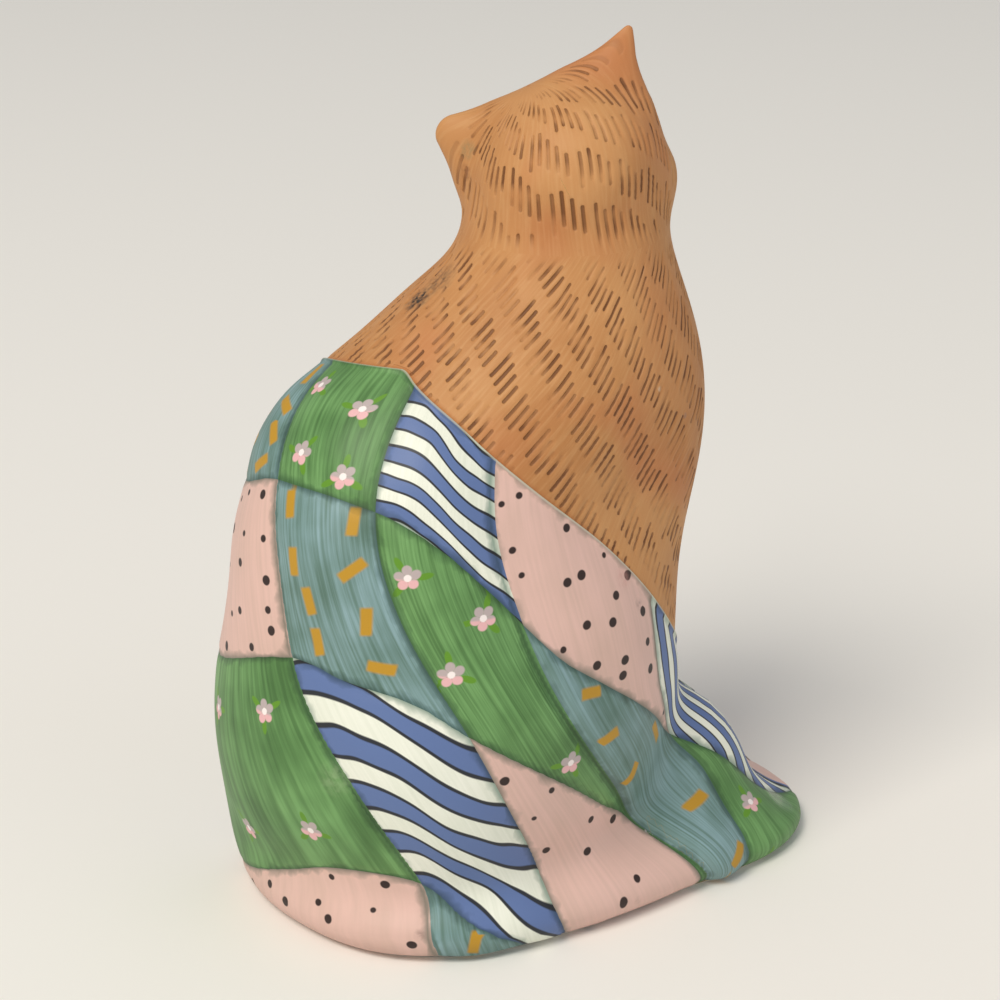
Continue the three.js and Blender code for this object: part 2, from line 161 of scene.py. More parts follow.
# Seams that run down the quilt: height, angle
DOWN_SEAMS = [
    [(0, 150), (60, 147), (100, 142), (125, 128)],
    [(0, 215), (18, 210), (42, 199), (67, 183), (91, 175), (107, 167), (125, 150)],
    [(0, 248), (29, 234), (54, 222), (78, 206), (100, 198), (125, 195)],
    [(0, 299), (16, 286), (38, 260), (56, 245), (75, 234), (97, 226), (125, 227)],
    [(0, 307), (24, 310), (37, 303), (52, 289), (73, 286), (125, 284)],
    [(0, 338), (40, 332), (125, 330)],
    [(0, 385), (40, 388), (125, 392)],
    [(0, 408), (40, 414), (125, 428)],
    [(0, 458), (60, 462), (125, 466)],
]
LAST_PATCH_LENGTH = 26.0

# Underside
FOOT_ROUNDING = 1.2
VENT_RADIUS = 4.5
VENT_DEPTH = 4.0

# Relief of the quilt in millimetres, and how far a seam pulls a patch down, in patches
SEAM_REACH = 0.22
SEAM_DEPTH = 0.35
SEAM_GROOVE = 0.8
EDGE_ROUNDING = 1.4
HEM_TUCK = 5.0

# The fold beside a down seam: its seam, where it starts, ends and grows in patches, and its
# ridge and crease in millimetres
FOLD_SEAM = 3
FOLD_START = 0.9
FOLD_END = 2.9
FOLD_GROWTH = 0.25
FOLD_RIDGE = 1.0
FOLD_REACH = 3.4
FOLD_CREASE = 0.7
FOLD_CREASE_REACH = 1.3

# The crevice between the coat and the quilt's edge, in millimetres
CREVICE_DEPTH = 0.3
CREVICE_REACH = 0.8

# Fur strokes pressed into the clay. Each lies in a cell of its own: sizes in millimetres, and
# slants from level in degrees
STROKE_SPACING = 2.1
STROKE_ROW = 10.2
STROKE_STAGGER = 0.81
STROKE_HALF = 2.8
STROKE_WIDTH = 0.46
STROKE_BEND = 0.006
COAT_SLANT = 57.0
HEAD_SLANT = 68.0
# Weights of a cell's two numbers: the fraction of their sum scatters its stroke. Then how far
# a stroke strays across and along, in cells, and how much its length varies.
FIRST_WEIGHTS = (0.7549, 0.5698)
SECOND_WEIGHTS = (0.8192, 0.6710)
SECOND_START = 0.31
STRAY_ACROSS = 0.4
STRAY_ALONG = 0.2
LENGTH_SPREAD = 0.6
# Radii that turn angles into places on the coat and the head, and the coat's meridian
COAT_RADIUS = 33.0
COAT_MERIDIAN = 228.0
SKULL_RADIUS = 20.5
# Where the strokes grow clear, as a start and a width in millimetres, and what the ears lose
CLEAR_OF_EARS = (0.5, 3.0)
CLEAR_OF_CROWN = (6.0, 8.0)
CLEAR_OF_RING = (0.8, 3.0)
CLEAR_OF_MUZZLE = (12.0, 4.0)
CLEAR_OF_WRAP = (1.0, 3.0)
EAR_LOSS = 0.75

# Middle of the form's plan, which lies over the object's origin
FORM_MIDDLE = np.array([2.84, -3.41, 0.0])

# Stage, in metres. Lights: azimuth, elevation, distance, size, power, colour, and the height
# that they are aimed at
LIGHTS = [
    ("key", 196, 50, 3.0, 1.5, 64, "#FFF8EC"),
    ("fill", 285, 30, 2.4, 1.8, 4.5, "#F4F7FF"),
]
LIGHTS_AIM = 0.09
SKY_STRENGTH = 0.47
FLOOR_HALF = 4.0

# Finish
PORCELAIN_IOR = 1.5
COAT_ROUGHNESS = 0.62
QUILT_ROUGHNESS = 0.5
UNDERSIDE_ROUGHNESS = 0.75
GLAZED_ROUGHNESS = 0.12
FLOOR_ROUGHNESS = 0.95
# A dab of glaze on the trailing corner: place on the form and reach
GLAZED_DAB = ((-33.2, -56.9, 7.7), 5.0)

# Patterns of the brush, as real sizes in millimetres. A pair is a size across a brush mark and
# one along it.
COAT_CLOUDS = 22.0
COAT_BLUSH = 34.0
COAT_BRUSH = (0.7, 9.0)
STAIN_BANDS = (14.0, 7.0)
QUILT_CLOUDS = 14.0
SEAM_BRUSHWORK = 4.0
WEAR_SPECKS = 1.2
# Width and length of a common patch, and of the brush streaks down it
PATCH_SIZE = (23.8, 24.0)
STREAK_SIZE = (0.7, 15.0)
# Grain of the biscuit. The real one is of some 0.05 mm, too fine to show in the render, so it
# is drawn this coarse.
COAT_GRAIN = 0.45
QUILT_GRAIN = 0.5
UNDERSIDE_GRAIN = 0.6
# Height of the patterns as bumps, in millimetres
COAT_BUMP = 0.24
QUILT_BUMP = 0.05
UNDERSIDE_BUMP = 0.04
# How strong the stain is by bands and from stroke to stroke, and over all. Then the painted
# shade in the crevice beside the quilt: its start and end in millimetres, and its strength.
STAIN_BY_BAND = (0.12, 1.1)
STAIN_BY_STROKE = (0.75, 1.1)
STAIN_OVER_ALL = 0.85
CREVICE_PAINTED_SHADE = (1.3, 0.1, 0.45)
# Dark brushwork along the seams: least and most reach and its end in millimetres, and strength
SEAM_SHADE = (0.6, 2.4, 0.1, 0.8)
# The cream line inside the quilt's edge: its start and end in millimetres, and its strength
EDGE_LINE = (-0.8, -0.4, 0.6)

# Motifs by number. A shader's ramp holds a number over the scale. The layout has one row for
# each course of patches, from the top down.
MOTIFS = {"flowers": 0, "dashes": 1, "dots": 2, "stripes": 3, "upright stripes": 4}
MOTIF_SCALE = 8.0
QUILT_LAYOUT = [
    ("dashes", "flowers", "stripes", "dots", "upright stripes", "dots", "flowers", "dashes",
     "dots"),
    ("dots", "dashes", "flowers", "dashes", "flowers", "flowers", "stripes", "dots",
     "flowers"),
    ("flowers", "stripes", "dots", "dashes", "flowers", "dashes", "dots", "flowers",
     "stripes"),
    ("dots", "dashes", "stripes", "dots", "dots", "dots", "dashes", "stripes", "dots"),
]
# Marks in a patch: how many across and down, how far each strays in cells, and a seed
DOTS = ((4, 5), 0.55, 11)
DASHES = ((2, 4), 0.3, 23)
FLOWERS = ((2, 2), 0.3, 37)
# Sizes of the motifs in millimetres. Edges are soft, from a mark's outside to its inside.
DOT_RADII = (0.5775, 1.155)
DOT_EDGE = (0.12, -0.12)
DASH_LENGTH = 6.0
DASH_WIDTH = 2.4
DASH_ROUNDING = 0.7
DASH_EDGE = (0.25, -0.3)
FLOWER_CENTRE = 0.9
PETALS = 5
LEAVES = 3
PETAL_PLACE = 1.6
PETAL_HALF = (1.1, 1.0)
LEAF_PLACE = 3.3
LEAF_HALF = (1.6, 0.7)
# Stripes: how many to a patch, lying and standing. Counted in stripes: their wave, how far
# noise moves them, their soft edges from the middle, how far the dark line lies from it, and
# the line's soft edges. The noise's scale goes by patches.
STRIPES_LYING = 4.4
STRIPES_STANDING = 5.4
STRIPE_WAVE = 0.16
STRIPE_WOBBLE = 0.6
STRIPE_EDGE = (0.27, 0.24)
STRIPE_LINE = 0.25
STRIPE_LINE_EDGE = (0.055, 0.03)
WOBBLE_SCALE = 2.2

# Paint on the face as ellipses: across from the middle, height, half width, half height
FACE_PAINT = [
    (8.4, 0.4, 3.6, 2.4, "#3A2417"), (8.4, 0.4, 3.0, 1.9, "#8FA04A"),
    (8.4, 0.4, 0.8, 1.8, "#15100D"), (0, -6.6, 2.3, 1.5, "#A9584E"),
    (0, -10.5, 0.3, 2.4, "#6B3A24"),
]

# Wear: place on the form, reach, strength and colour
COAT_MARKS = {
    "scuff on the shoulder": ((9.7, 14.6, 133.6), 4.2, 1.3, "#2E2620"),
    "scuff's tail": ((7.8, 10.1, 137.4), 5.0, 0.8, "#5E4630"),
    "chip": ((-31.1, -18.1, 116.9), 0.8, 0.9, "#E9DCC4"),
    "blue fleck": ((-30.3, -26.4, 108.9), 0.8, 0.8, "#5F6C7E"),
}
HEAD_MARKS = {
    "smudge by the left ear": ((10.1, 0.4, 163.7), 2.6, 0.7, "#7C7A58"),
    "spot by the left ear": ((10.0, 1.1, 159.0), 2.2, 0.7, "#7A4A2A"),
    "chip on the neck": ((-24.6, -13.5, 142.4), 0.8, 0.8, "#E9DCC4"),
}
QUILT_MARKS = {
    "scuff": ((-35.8, -3.8, 78.9), 3.0, 0.5, "#C98F86"),
    "smudge": ((-36.9, -7.5, 72.2), 1.6, 0.6, "#7E6862"),
    "smudge by the hem": ((-42.5, -2.8, 5.1), 1.8, 0.5, "#7A5A50"),
    "second smudge by the hem": ((-28.2, 45.9, 7.5), 1.6, 0.5, "#6C5650"),
    "pale spot": ((-15.7, 58.1, 43.6), 4.5, 0.35, "#A9BE93"),
}

# Grid: a coarse one settles evenly on the form, then a fine one is drawn from it.
COARSE_COLUMNS = 80
COARSE_QUILT_ROWS = 18
COARSE_COAT_ROWS = 18
SETTLING_ROUNDS = 50
FINE_COLUMNS = 400
FINE_QUILT_ROWS = 88
FINE_COAT_ROWS = 74
FINE_HEAD_ROWS = 78
ROWS_BY_EDGE = [0.3, 0.2, 0.12, 0.06, 0.02, 0]
FITTING_ROUNDS = 4
EAR_GATHERING_ANGLE = math.radians(40)
# Steps by which points are drawn onto the form and rays walk to it, in millimetres
GRADIENT_STEP = 0.05
LEAST_STEEPNESS = 0.05
LONGEST_STEP = 3.0
OUTSIDE_REACH = 110.0
RAY_STEPS = 60
RAY_STRIDE = 0.6
RAY_TOLERANCE = 0.02
# Room that rows keep below the quilt's edge and above it, as shares of their height
ROOM_BELOW_EDGE = 0.2
ROOM_ABOVE_EDGE = 0.1
# Step by which the patch place's slopes are taken, in degrees and in millimetres, and the
# least values that keep their inverses finite
PATCH_STEP = 0.05
LEAST_UPRIGHT = 0.35
LEAST_PATCH_SLOPE = 1e-3
LEAST_PATCH_AREA = 2e-4


def turned(about_x, about_y, about_z):
    """Rotation by angles in degrees about X, then Y, then Z."""
    x, y, z = np.radians([about_x, about_y, about_z])
    turn_x = np.array([[1, 0, 0], [0, np.cos(x), -np.sin(x)], [0, np.sin(x), np.cos(x)]])
    turn_y = np.array([[np.cos(y), 0, np.sin(y)], [0, 1, 0], [-np.sin(y), 0, np.cos(y)]])
    turn_z = np.array([[np.cos(z), -np.sin(z), 0], [np.sin(z), np.cos(z), 0], [0, 0, 1]])
    return turn_z @ turn_y @ turn_x


HEAD_FRAME = turned(0, 0, HEAD_TURN) @ turned(0, HEAD_ROLL, 0)


def curve(points, at, closed):
    """Heights of a cubic curve through points in rising order, closed over 360 degrees or not.

    Between two points, with t from 0 to 1, it is
    y1 (1 - r) + y2 r + m1 t (1 - t)^2 - m2 t^2 (1 - t), where r = t^2 (3 - 2t) and m is the
    slope through a point's two neighbours.
    """
    xs, ys = np.array(points, float).T
    if closed:
        xs = np.concatenate([xs[-2:] - FULL_TURN, xs, xs[:3] + FULL_TURN])
        ys = np.concatenate([ys[-2:], ys, ys[:3]])
        at = points[0][0] + (at - points[0][0]) % FULL_TURN
    else:
        xs = np.concatenate([xs[:1], xs, xs[-1:]])
        ys = np.concatenate([ys[:1], ys, ys[-1:]])
        at = np.clip(at, xs[0], xs[-1] - 1e-9)
    k = np.clip(np.searchsorted(xs, at, side="right") - 1, 1, len(xs) - 3)
    span = xs[k + 1] - xs[k]
    slope_1 = (ys[k + 1] - ys[k - 1]) / (xs[k + 1] - xs[k - 1]) * span
    slope_2 = (ys[k + 2] - ys[k]) / (xs[k + 2] - xs[k]) * span
    t = (at - xs[k]) / span
    rise = t * t * (3 - 2 * t)
    return (ys[k] * (1 - rise) + ys[k + 1] * rise
            + slope_1 * t * (1 - t) ** 2 - slope_2 * t * t * (1 - t))


def mass_distance(points, centre, half, turn, square):
    """Distance to an ellipsoid, near enough close to its surface and below zero inside.

    In the mass's own frame, scaled by its half sizes, the reach is
    sqrt((|x|^n + |y|^n)^(2/n) + z^2). The distance is reach - 1 over the reach's slope.
    """
    place = (points - np.array(centre, float)) @ turned(*turn)
    x = np.abs(place[..., 0]) / half[0] + 1e-9
    y = np.abs(place[..., 1]) / half[1] + 1e-9
    z = place[..., 2] / half[2]
    if square == 2:
        plan = np.hypot(x, y)
        slopes = (x / half[0]) ** 2 + (y / half[1]) ** 2
    else:
        plan = (x ** square + y ** square) ** (1 / square)
        slopes = ((x / plan) ** (square - 2) * x / half[0]) ** 2
        slopes += ((y / plan) ** (square - 2) * y / half[1]) ** 2
    reach = np.hypot(plan, z)
    return (reach - 1) * reach / np.sqrt(slopes + (z / half[2]) ** 2)


def ear_distance(points, root, lean, length, root_radius, tip_radius, flatness):
    """Distance to a flattened round cone that stands on its root and leans.

    Across is sqrt(x^2 + (flatness y)^2). Beside the cone the distance is
    cos a across + sin a z - root radius, and at each end it is that to a ball.
    """
    place = (points - np.array(root, float)) @ turned(0, lean, 0)
    across = np.hypot(place[..., 0], place[..., 1] * flatness)
    height = place[..., 2]
    taper = (root_radius - tip_radius) / length
    cosine = math.sqrt(1 - taper * taper)
    along = cosine * height - taper * across
    beside = cosine * across + taper * height - root_radius
    below = np.hypot(across, height) - root_radius
    above = np.hypot(across, height - length) - tip_radius
    distance = np.where(along < 0, below, np.where(along > cosine * length, above, beside))
    return distance / math.sqrt(flatness)


def smooth_union(distances, softness):
    """Smooth least distance: -s log(sum(exp(-d / s))), so masses that meet swell together."""
    nearest = np.minimum.reduce(distances)
    total = sum(np.exp((nearest - distance) / softness) for distance in distances)
    return nearest - softness * np.log(total)


def in_head(points):
    """Places in the head's own frame."""
    return (points - HEAD_CENTRE) @ HEAD_FRAME


def form(points):
    """Distance to the whole form: smooth unions of the masses of body, legs, head and ears."""
    body = smooth_union([mass_distance(points, *mass) for mass in BODY_MASSES.values()],
                        BODY_SOFTNESS)
    legs = smooth_union([mass_distance(points, *mass) for mass in LEG_MASSES.values()],
                        LEG_SOFTNESS)
    place = in_head(points)
    head = smooth_union([mass_distance(place, *mass) for mass in HEAD_MASSES.values()]
                        + [ear_distance(place, *ear) for ear in EARS.values()], HEAD_SOFTNESS)
    trunk = smooth_union([body, legs], LEG_SOFTNESS)
    return smooth_union([trunk, head], NECK_SOFTNESS)


def gradient(points, value):
    """Slope of the form's distance by forward differences."""
    steps = [form(points + GRADIENT_STEP * axis) - value for axis in np.eye(3)]
    return np.stack(steps, -1) / GRADIENT_STEP


def drawn_onto(points, level):
    """Points after one Newton step towards the surface, p - d g / |g|^2. Level keeps heights."""
    value = form(points)
    slope = gradient(points, value)
    if level:
        slope[..., 2] = 0
    steepness = np.maximum((slope ** 2).sum(-1), LEAST_STEEPNESS)
    step = np.clip(-value / steepness, -LONGEST_STEP, LONGEST_STEP)
    return points + slope * step[..., None]


def cast_rays(starts, directions):
    """Outermost points of the form along rays, found by walking inward from outside.

    Each step is a share of the distance to the form, and ends within the tolerance.
    """
    points = starts + directions * OUTSIDE_REACH
    for _ in range(RAY_STEPS):
        distance = form(points)
        stride = np.maximum(RAY_STRIDE * distance, RAY_TOLERANCE)
        step = np.where(distance > RAY_TOLERANCE, stride, 0)
        points = points - directions * step[..., None]
    return points


def unit(vectors):
    """Vectors at length one."""
    return vectors / np.maximum(np.linalg.norm(vectors, axis=-1, keepdims=True), 1e-12)


def fan(columns):
    """Level directions from the middle line, one for each column."""
    angle = 2 * np.pi * np.arange(columns) / columns
    return np.stack([np.sin(angle), -np.cos(angle), np.zeros(columns)], -1)


def angle_of(points):
    """Angle round the figure, in degrees."""
    return np.degrees(np.arctan2(points[..., 0] - AXIS[0], AXIS[1] - points[..., 1])) % FULL_TURN


def edge_height(angle):
    """Height of the quilt's upper edge."""
    return curve(QUILT_EDGE, angle, True)


def held(points, row, edge_row, neck_row):
    """The foot, the quilt's edge and the neck ring keep their own heights."""
    points = points.copy()
    if row == 0:
        points[..., 2] = 0
    elif row == edge_row:
        points[..., 2] = edge_height(angle_of(points))
    elif row == neck_row:
        points[..., 2] = NECK_RING_HEIGHT
    return points


def coarse_body():
    """Rows from the foot to the neck ring, settled evenly on the form.

    Each point moves to the middle of its neighbours, those above and below counting double,
    and back onto the form, round after round. Held rows settle along themselves.
    """
    outward = fan(COARSE_COLUMNS)
    edge = edge_height(FULL_TURN * np.arange(COARSE_COLUMNS) / COARSE_COLUMNS)
    edge_row = COARSE_QUILT_ROWS
    neck_row = edge_row + COARSE_COAT_ROWS
    share = np.arange(edge_row + 1)[:, None] / edge_row
    starts = np.zeros((edge_row + 1, COARSE_COLUMNS, 3))
    starts[..., :2] = AXIS
    starts[..., 2] = edge * share
    quilt = cast_rays(starts, outward)
    ring_start = np.array([HEAD_CENTRE[0], HEAD_CENTRE[1], NECK_RING_HEIGHT])
    ring = cast_rays(np.broadcast_to(ring_start, outward.shape), outward)
    share = np.arange(1, COARSE_COAT_ROWS + 1)[:, None, None] / COARSE_COAT_ROWS
    rows = np.concatenate([quilt, quilt[-1] * (1 - share) + ring * share])
    number = np.arange(neck_row + 1)
    spacing = np.where(number >= edge_row, 1 + (number - edge_row) / COARSE_COAT_ROWS, 1)
    below = (spacing / (np.roll(spacing, 1) + spacing))[1:-1, None, None]
    for _ in range(SETTLING_ROUNDS):
        beside = np.roll(rows, 1, 1) + np.roll(rows, -1, 1)
        middle = beside / 2
        middle[1:-1] = (beside[1:-1] + 4 * below * rows[:-2] + 4 * (1 - below) * rows[2:]) / 6
        for row in (0, edge_row, neck_row):
            middle[row] = beside[row] / 2
        rows = fitted(middle, edge_row, neck_row)
    return rows


def fitted(rows, edge_row, neck_row):
    """Rows drawn onto the form by one step, with the held rows kept at their heights."""
    moved = drawn_onto(rows, False)
    for row in (0, edge_row, neck_row):
        moved[row] = drawn_onto(held(rows[row], row, edge_row, neck_row), True)
    return moved


def in_order(rows, edge_row, neck_row):
    """Rows kept rising, with none of the quilt's above its edge and none of the coat's below.

    With s as the share of the rows from the foot to the edge, the quilt stays below
    edge (1 - room (1 - s)), and the coat above a share of a straight rise to the ring.
    """
    number = np.arange(len(rows))[:, None]
    edge = rows[edge_row, :, 2]
    highest = edge * (1 - ROOM_BELOW_EDGE * (1 - number / edge_row))
    rise = ROOM_ABOVE_EDGE * (number - edge_row) / (neck_row - edge_row)
    lowest = edge + (NECK_RING_HEIGHT - edge) * rise
    height = np.where(number < edge_row, np.minimum(rows[..., 2], highest),
                      np.maximum(rows[..., 2], lowest))
    height[edge_row] = edge
    moved = np.concatenate([rows[..., :2], height[..., None]], -1)
    astray = np.abs(height - rows[..., 2]) > 1e-9
    return np.where(astray[..., None], drawn_onto(moved, True), rows)


def finer(rows, places, columns):
    """Rows taken between the given ones at fractional places, by a cubic through four points.

    With t from 0 to 1 the four weights are those of the Catmull-Rom curve.
    """
    def weights(t):
        return (-t / 2 + t * t - t ** 3 / 2, 1 - 2.5 * t * t + 1.5 * t ** 3,
                t / 2 + 2 * t * t - 1.5 * t ** 3, -t * t / 2 + t ** 3 / 2)

    base = np.minimum(places.astype(int), len(rows) - 2)
    taken = sum(w[:, None, None] * rows[np.clip(base + k - 1, 0, len(rows) - 1)]
                for k, w in enumerate(weights(places - base)))
    along = np.arange(columns) * rows.shape[1] / columns
    base = along.astype(int)
    return sum(w[None, :, None] * taken[:, (base + k - 1) % rows.shape[1]]
               for k, w in enumerate(weights(along - base)))


def ear_tips():
    """The tips of the ears."""
    tips = []
    for root, lean, length, _, tip_radius, _ in EARS.values():
        tip = np.array(root) + turned(0, lean, 0) @ np.array([0, 0, length + tip_radius])
        tips.append(HEAD_CENTRE + HEAD_FRAME @ tip)
    return tips


def swung(directions, towards, share):
    """Directions swung to a share of their angle from another direction."""
    angle = np.arccos(np.clip((directions * towards).sum(-1), -1, 1))
    side = unit(directions - towards * (directions * towards).sum(-1, keepdims=True))
    new = angle * share(angle)
    return towards * np.cos(new)[..., None] + side * np.sin(new)[..., None]


def head_rows(ring):
    """Rows from above the neck ring to below the crown, by rays from the skull's middle.

    Rays swing from the ring's directions up to the crown. Near an ear's tip an angle a
    becomes a^2 over the gathering angle, so that the ear is well covered.
    """
    up = HEAD_FRAME[:, 2]
    start = unit(ring - HEAD_CENTRE)
    share = np.arange(1, FINE_HEAD_ROWS)[:, None] / FINE_HEAD_ROWS
    directions = swung(start[None], up, lambda angle: 1 - share)
    for tip in ear_tips():
        towards = unit(tip - HEAD_CENTRE)
        directions = swung(directions, towards,
                           lambda angle: np.minimum(angle / EAR_GATHERING_ANGLE, 1))
    return cast_rays(np.broadcast_to(HEAD_CENTRE, directions.shape), directions)


def fine_form():
    """The fine rows on the form, from the foot to below the crown, and the crown."""
    coarse = coarse_body()
    by_edge = COARSE_QUILT_ROWS - np.array(ROWS_BY_EDGE)
    quilt_places = np.append(np.linspace(0, by_edge[0], FINE_QUILT_ROWS + 1 - len(by_edge),
                                         endpoint=False), by_edge)
    coat_places = COARSE_QUILT_ROWS + np.linspace(0, COARSE_COAT_ROWS, FINE_COAT_ROWS + 1)
    rows = finer(coarse, np.concatenate([quilt_places, coat_places[1:]]), FINE_COLUMNS)
    edge_row = FINE_QUILT_ROWS
    neck_row = edge_row + FINE_COAT_ROWS
    for _ in range(FITTING_ROUNDS):
        rows = in_order(fitted(rows, edge_row, neck_row), edge_row, neck_row)
    head = head_rows(rows[-1])
    crown = cast_rays(HEAD_CENTRE[None], HEAD_FRAME[:, 2][None])[0]
    return np.concatenate([rows, head]), crown


def patch_place(angle, height):
    """Place on the quilt counted in patches: across its down seams, and down its round seams."""
    seams = [curve(seam, height, False) for seam in DOWN_SEAMS]
    seams.append(seams[0] + FULL_TURN)
    wrapped = seams[0] + (angle - seams[0]) % FULL_TURN
    across = np.zeros_like(angle)
    for k in range(len(DOWN_SEAMS)):
        place = k + (wrapped - seams[k]) / (seams[k + 1] - seams[k])
        across = np.where(wrapped >= seams[k], place, across)
    edges = [edge_height(angle)] + [curve(seam, angle, True) for seam in ROUND_SEAMS]
    edges.append(edges[-1] - LAST_PATCH_LENGTH)
    down = (edges[0] - height) / (edges[0] - edges[1])
    for k in range(1, len(ROUND_SEAMS) + 1):
        place = k + (edges[k] - height) / (edges[k] - edges[k + 1])
        down = np.where(height < edges[k], place, down)
    return across, down


def patch_steps(points, normals):
    """Steps in millimetres, round and down the surface, that one patch across or down takes.

    The patch place's slopes by arc and by fall make a two by two matrix, and these are the
    columns of its inverse. The patch's size is one over each slope's length.
    """
    angle, height = angle_of(points), points[..., 2]
    radius = np.hypot(points[..., 0] - AXIS[0], points[..., 1] - AXIS[1])
    upright = np.clip(np.hypot(normals[..., 0], normals[..., 1]), LEAST_UPRIGHT, 1)
    here = np.stack(patch_place(angle, height), -1)
    by_arc = np.stack(patch_place(angle + PATCH_STEP, height), -1) - here
    by_fall = np.stack(patch_place(angle, height - PATCH_STEP), -1) - here
    patches = len(DOWN_SEAMS)
    for step in (by_arc, by_fall):
        step[..., 0] -= patches * np.round(step[..., 0] / patches)
    by_arc /= (np.radians(PATCH_STEP) * radius)[..., None]
    by_fall /= (PATCH_STEP / upright)[..., None]
    slopes = np.stack([by_arc, by_fall], -1)
    size = 1 / np.maximum(np.linalg.norm(slopes, axis=-1), LEAST_PATCH_SLOPE)
    area = slopes[..., 0, 0] * slopes[..., 1, 1] - slopes[..., 0, 1] * slopes[..., 1, 0]
    area = np.where(np.abs(area) < LEAST_PATCH_AREA, LEAST_PATCH_AREA, area)
    per_across = np.stack([slopes[..., 1, 1], -slopes[..., 1, 0]], -1) / area[..., None]
    per_down = np.stack([-slopes[..., 0, 1], slopes[..., 0, 0]], -1) / area[..., None]
    return size, per_across, per_down


def from_seam(place):
    """Distance from the nearest whole number."""
    return np.abs(place - np.round(place))


def padding(across, down, size, depth):
    """Height of the padded patches, full in their middles and drawn down along their seams.

    Each way the patch rises as 1 - exp(-(s / reach)^2), and each seam is a groove
    exp(-(d / groove)^2), with s counted in patches and d in millimetres.
    """
    rise = [1 - np.exp(-(from_seam(place) / SEAM_REACH) ** 2) for place in (across, down)]
    to_seam = np.minimum(from_seam(across) * size[..., 0], from_seam(down) * size[..., 1])
    groove = np.exp(-(to_seam / SEAM_GROOVE) ** 2)
    return depth * (rise[0] * rise[1] - 1) - SEAM_DEPTH * groove


def ramp(value, start, width):
    """A straight rise from 0 at the start to 1 at the start plus the width."""
    return np.clip((value - start) / width, 0, 1)


def fold_relief(across, down, width):
    """A soft fold beside a down seam: a ridge and a crease, each h exp(-(d / reach)^2)."""
    beside = (across - FOLD_SEAM) * width
    stretch = ramp(down, FOLD_START, FOLD_GROWTH) * ramp(-down, -FOLD_END, FOLD_GROWTH)
    stretch *= np.abs(across - FOLD_SEAM) < 1
    ridge = FOLD_RIDGE * np.exp(-((beside - FOLD_REACH) / FOLD_REACH) ** 2)
    crease = FOLD_CREASE * np.exp(-(beside / FOLD_CREASE_REACH) ** 2)
    return stretch * (ridge - crease)


def stroke_mask(along, up, slant):
    """Incised fur strokes as 1 in a stroke and 0 between, by place on the coat in millimetres.

    The place is turned so that b runs along the strokes and a across them. Cell i, j holds
    one stroke, moved by the fractions of two weighted sums of i and j. It is a round-ended
    line, bent by the square of the length, and its distance gives the mask.
    """
    slant = math.radians(slant)
    a = along * math.sin(slant) - up * math.cos(slant)
    b = along * math.cos(slant) + up * math.sin(slant)
    i = np.floor(a / STROKE_SPACING)
    b = b + i * STROKE_STAGGER
    j = np.floor(b / STROKE_ROW)
    first = (FIRST_WEIGHTS[0] * i + FIRST_WEIGHTS[1] * j) % 1 - 0.5
    second = (SECOND_WEIGHTS[0] * i + SECOND_WEIGHTS[1] * j + SECOND_START) % 1 - 0.5
    across = (a / STROKE_SPACING - i - 0.5 - STRAY_ACROSS * first) * STROKE_SPACING
    length = (b / STROKE_ROW - j - 0.5 - STRAY_ALONG * second) * STROKE_ROW
    across = across + STROKE_BEND * length * length
    beyond = np.maximum(np.abs(length) - STROKE_HALF * (1 + LENGTH_SPREAD * first), 0)
    distance = np.hypot(across, beyond)
    return np.clip((STROKE_WIDTH - distance) / STROKE_WIDTH * 2, 0, 1)


def face_relief(place):
    """Sum of the dabs on the face, each height exp(-(d / reach)^2)."""
    return sum(height * np.exp(-((place - np.array(at)) ** 2).sum(-1) / reach ** 2)
               for at, reach, height in FACE_DABS.values())


def front_relief(points, from_edge):
    """Legs, paws and toes between creases, each -depth exp(-(d / reach)^2), on the front only.

    d is the distance to the crease's line as seen from the front.
    """
    seen = points[..., ::2]
    relief = 0
    for start, end, depth, reach in FRONT_CREASES.values():
        line = np.subtract(end, start)
        share = np.clip((seen - start) @ line / (line @ line), 0, 1)
        distance = np.linalg.norm(seen - start - share[..., None] * line, axis=-1)
        relief = relief - depth * np.exp(-(distance / reach) ** 2)
    in_front = ramp(-points[..., 1], FRONT_START, FRONT_GROWTH)
    return relief * in_front * ramp(from_edge, 0, FRONT_BY_QUILT)


def row_distances(rows, start):
    """Distance along each column from a row."""
    steps = np.linalg.norm(np.diff(rows, axis=0), axis=-1)
    length = np.concatenate([np.zeros((1,) + steps.shape[1:]), np.cumsum(steps, 0)])
    return length - length[start]


def coat_place(points, up):
    """Place on the coat in millimetres, round and up, what a full turn adds, and a fade.

    The angle is taken about a line that bends from the body's middle to the neck's by the
    square of the height, and counted from one meridian. Before the meridian it makes an arc by
    the place's own radius, so that strokes stay parallel over the shoulder, and after it by
    one radius. The fade falls to 0 along the line where the angle wraps.
    """
    share = np.minimum(points[..., 2:] / NECK_RING_HEIGHT, 1) ** 2
    away = points[..., :2] - AXIS - (HEAD_CENTRE[:2] - AXIS) * share
    angle = np.arctan2(away[..., 0], -away[..., 1]) - math.radians(COAT_MERIDIAN)
    angle = (angle + np.pi) % (2 * np.pi) - np.pi
    own = np.hypot(away[..., 0], away[..., 1])
    place = np.stack([angle * np.where(angle < 0, own, COAT_RADIUS), up], -1)
    from_wrap = (np.pi - np.abs(angle)) * COAT_RADIUS
    return place, np.pi * (COAT_RADIUS + own), ramp(from_wrap, *CLEAR_OF_WRAP)


def head_place(place):
    """Place on the head in millimetres, round and up: its angles times the skull's radius."""
    round_it = np.arctan2(-place[..., 0], place[..., 1])
    up = np.arctan2(place[..., 2], np.hypot(place[..., 0], place[..., 1]))
    return np.stack([round_it, up], -1) * SKULL_RADIUS


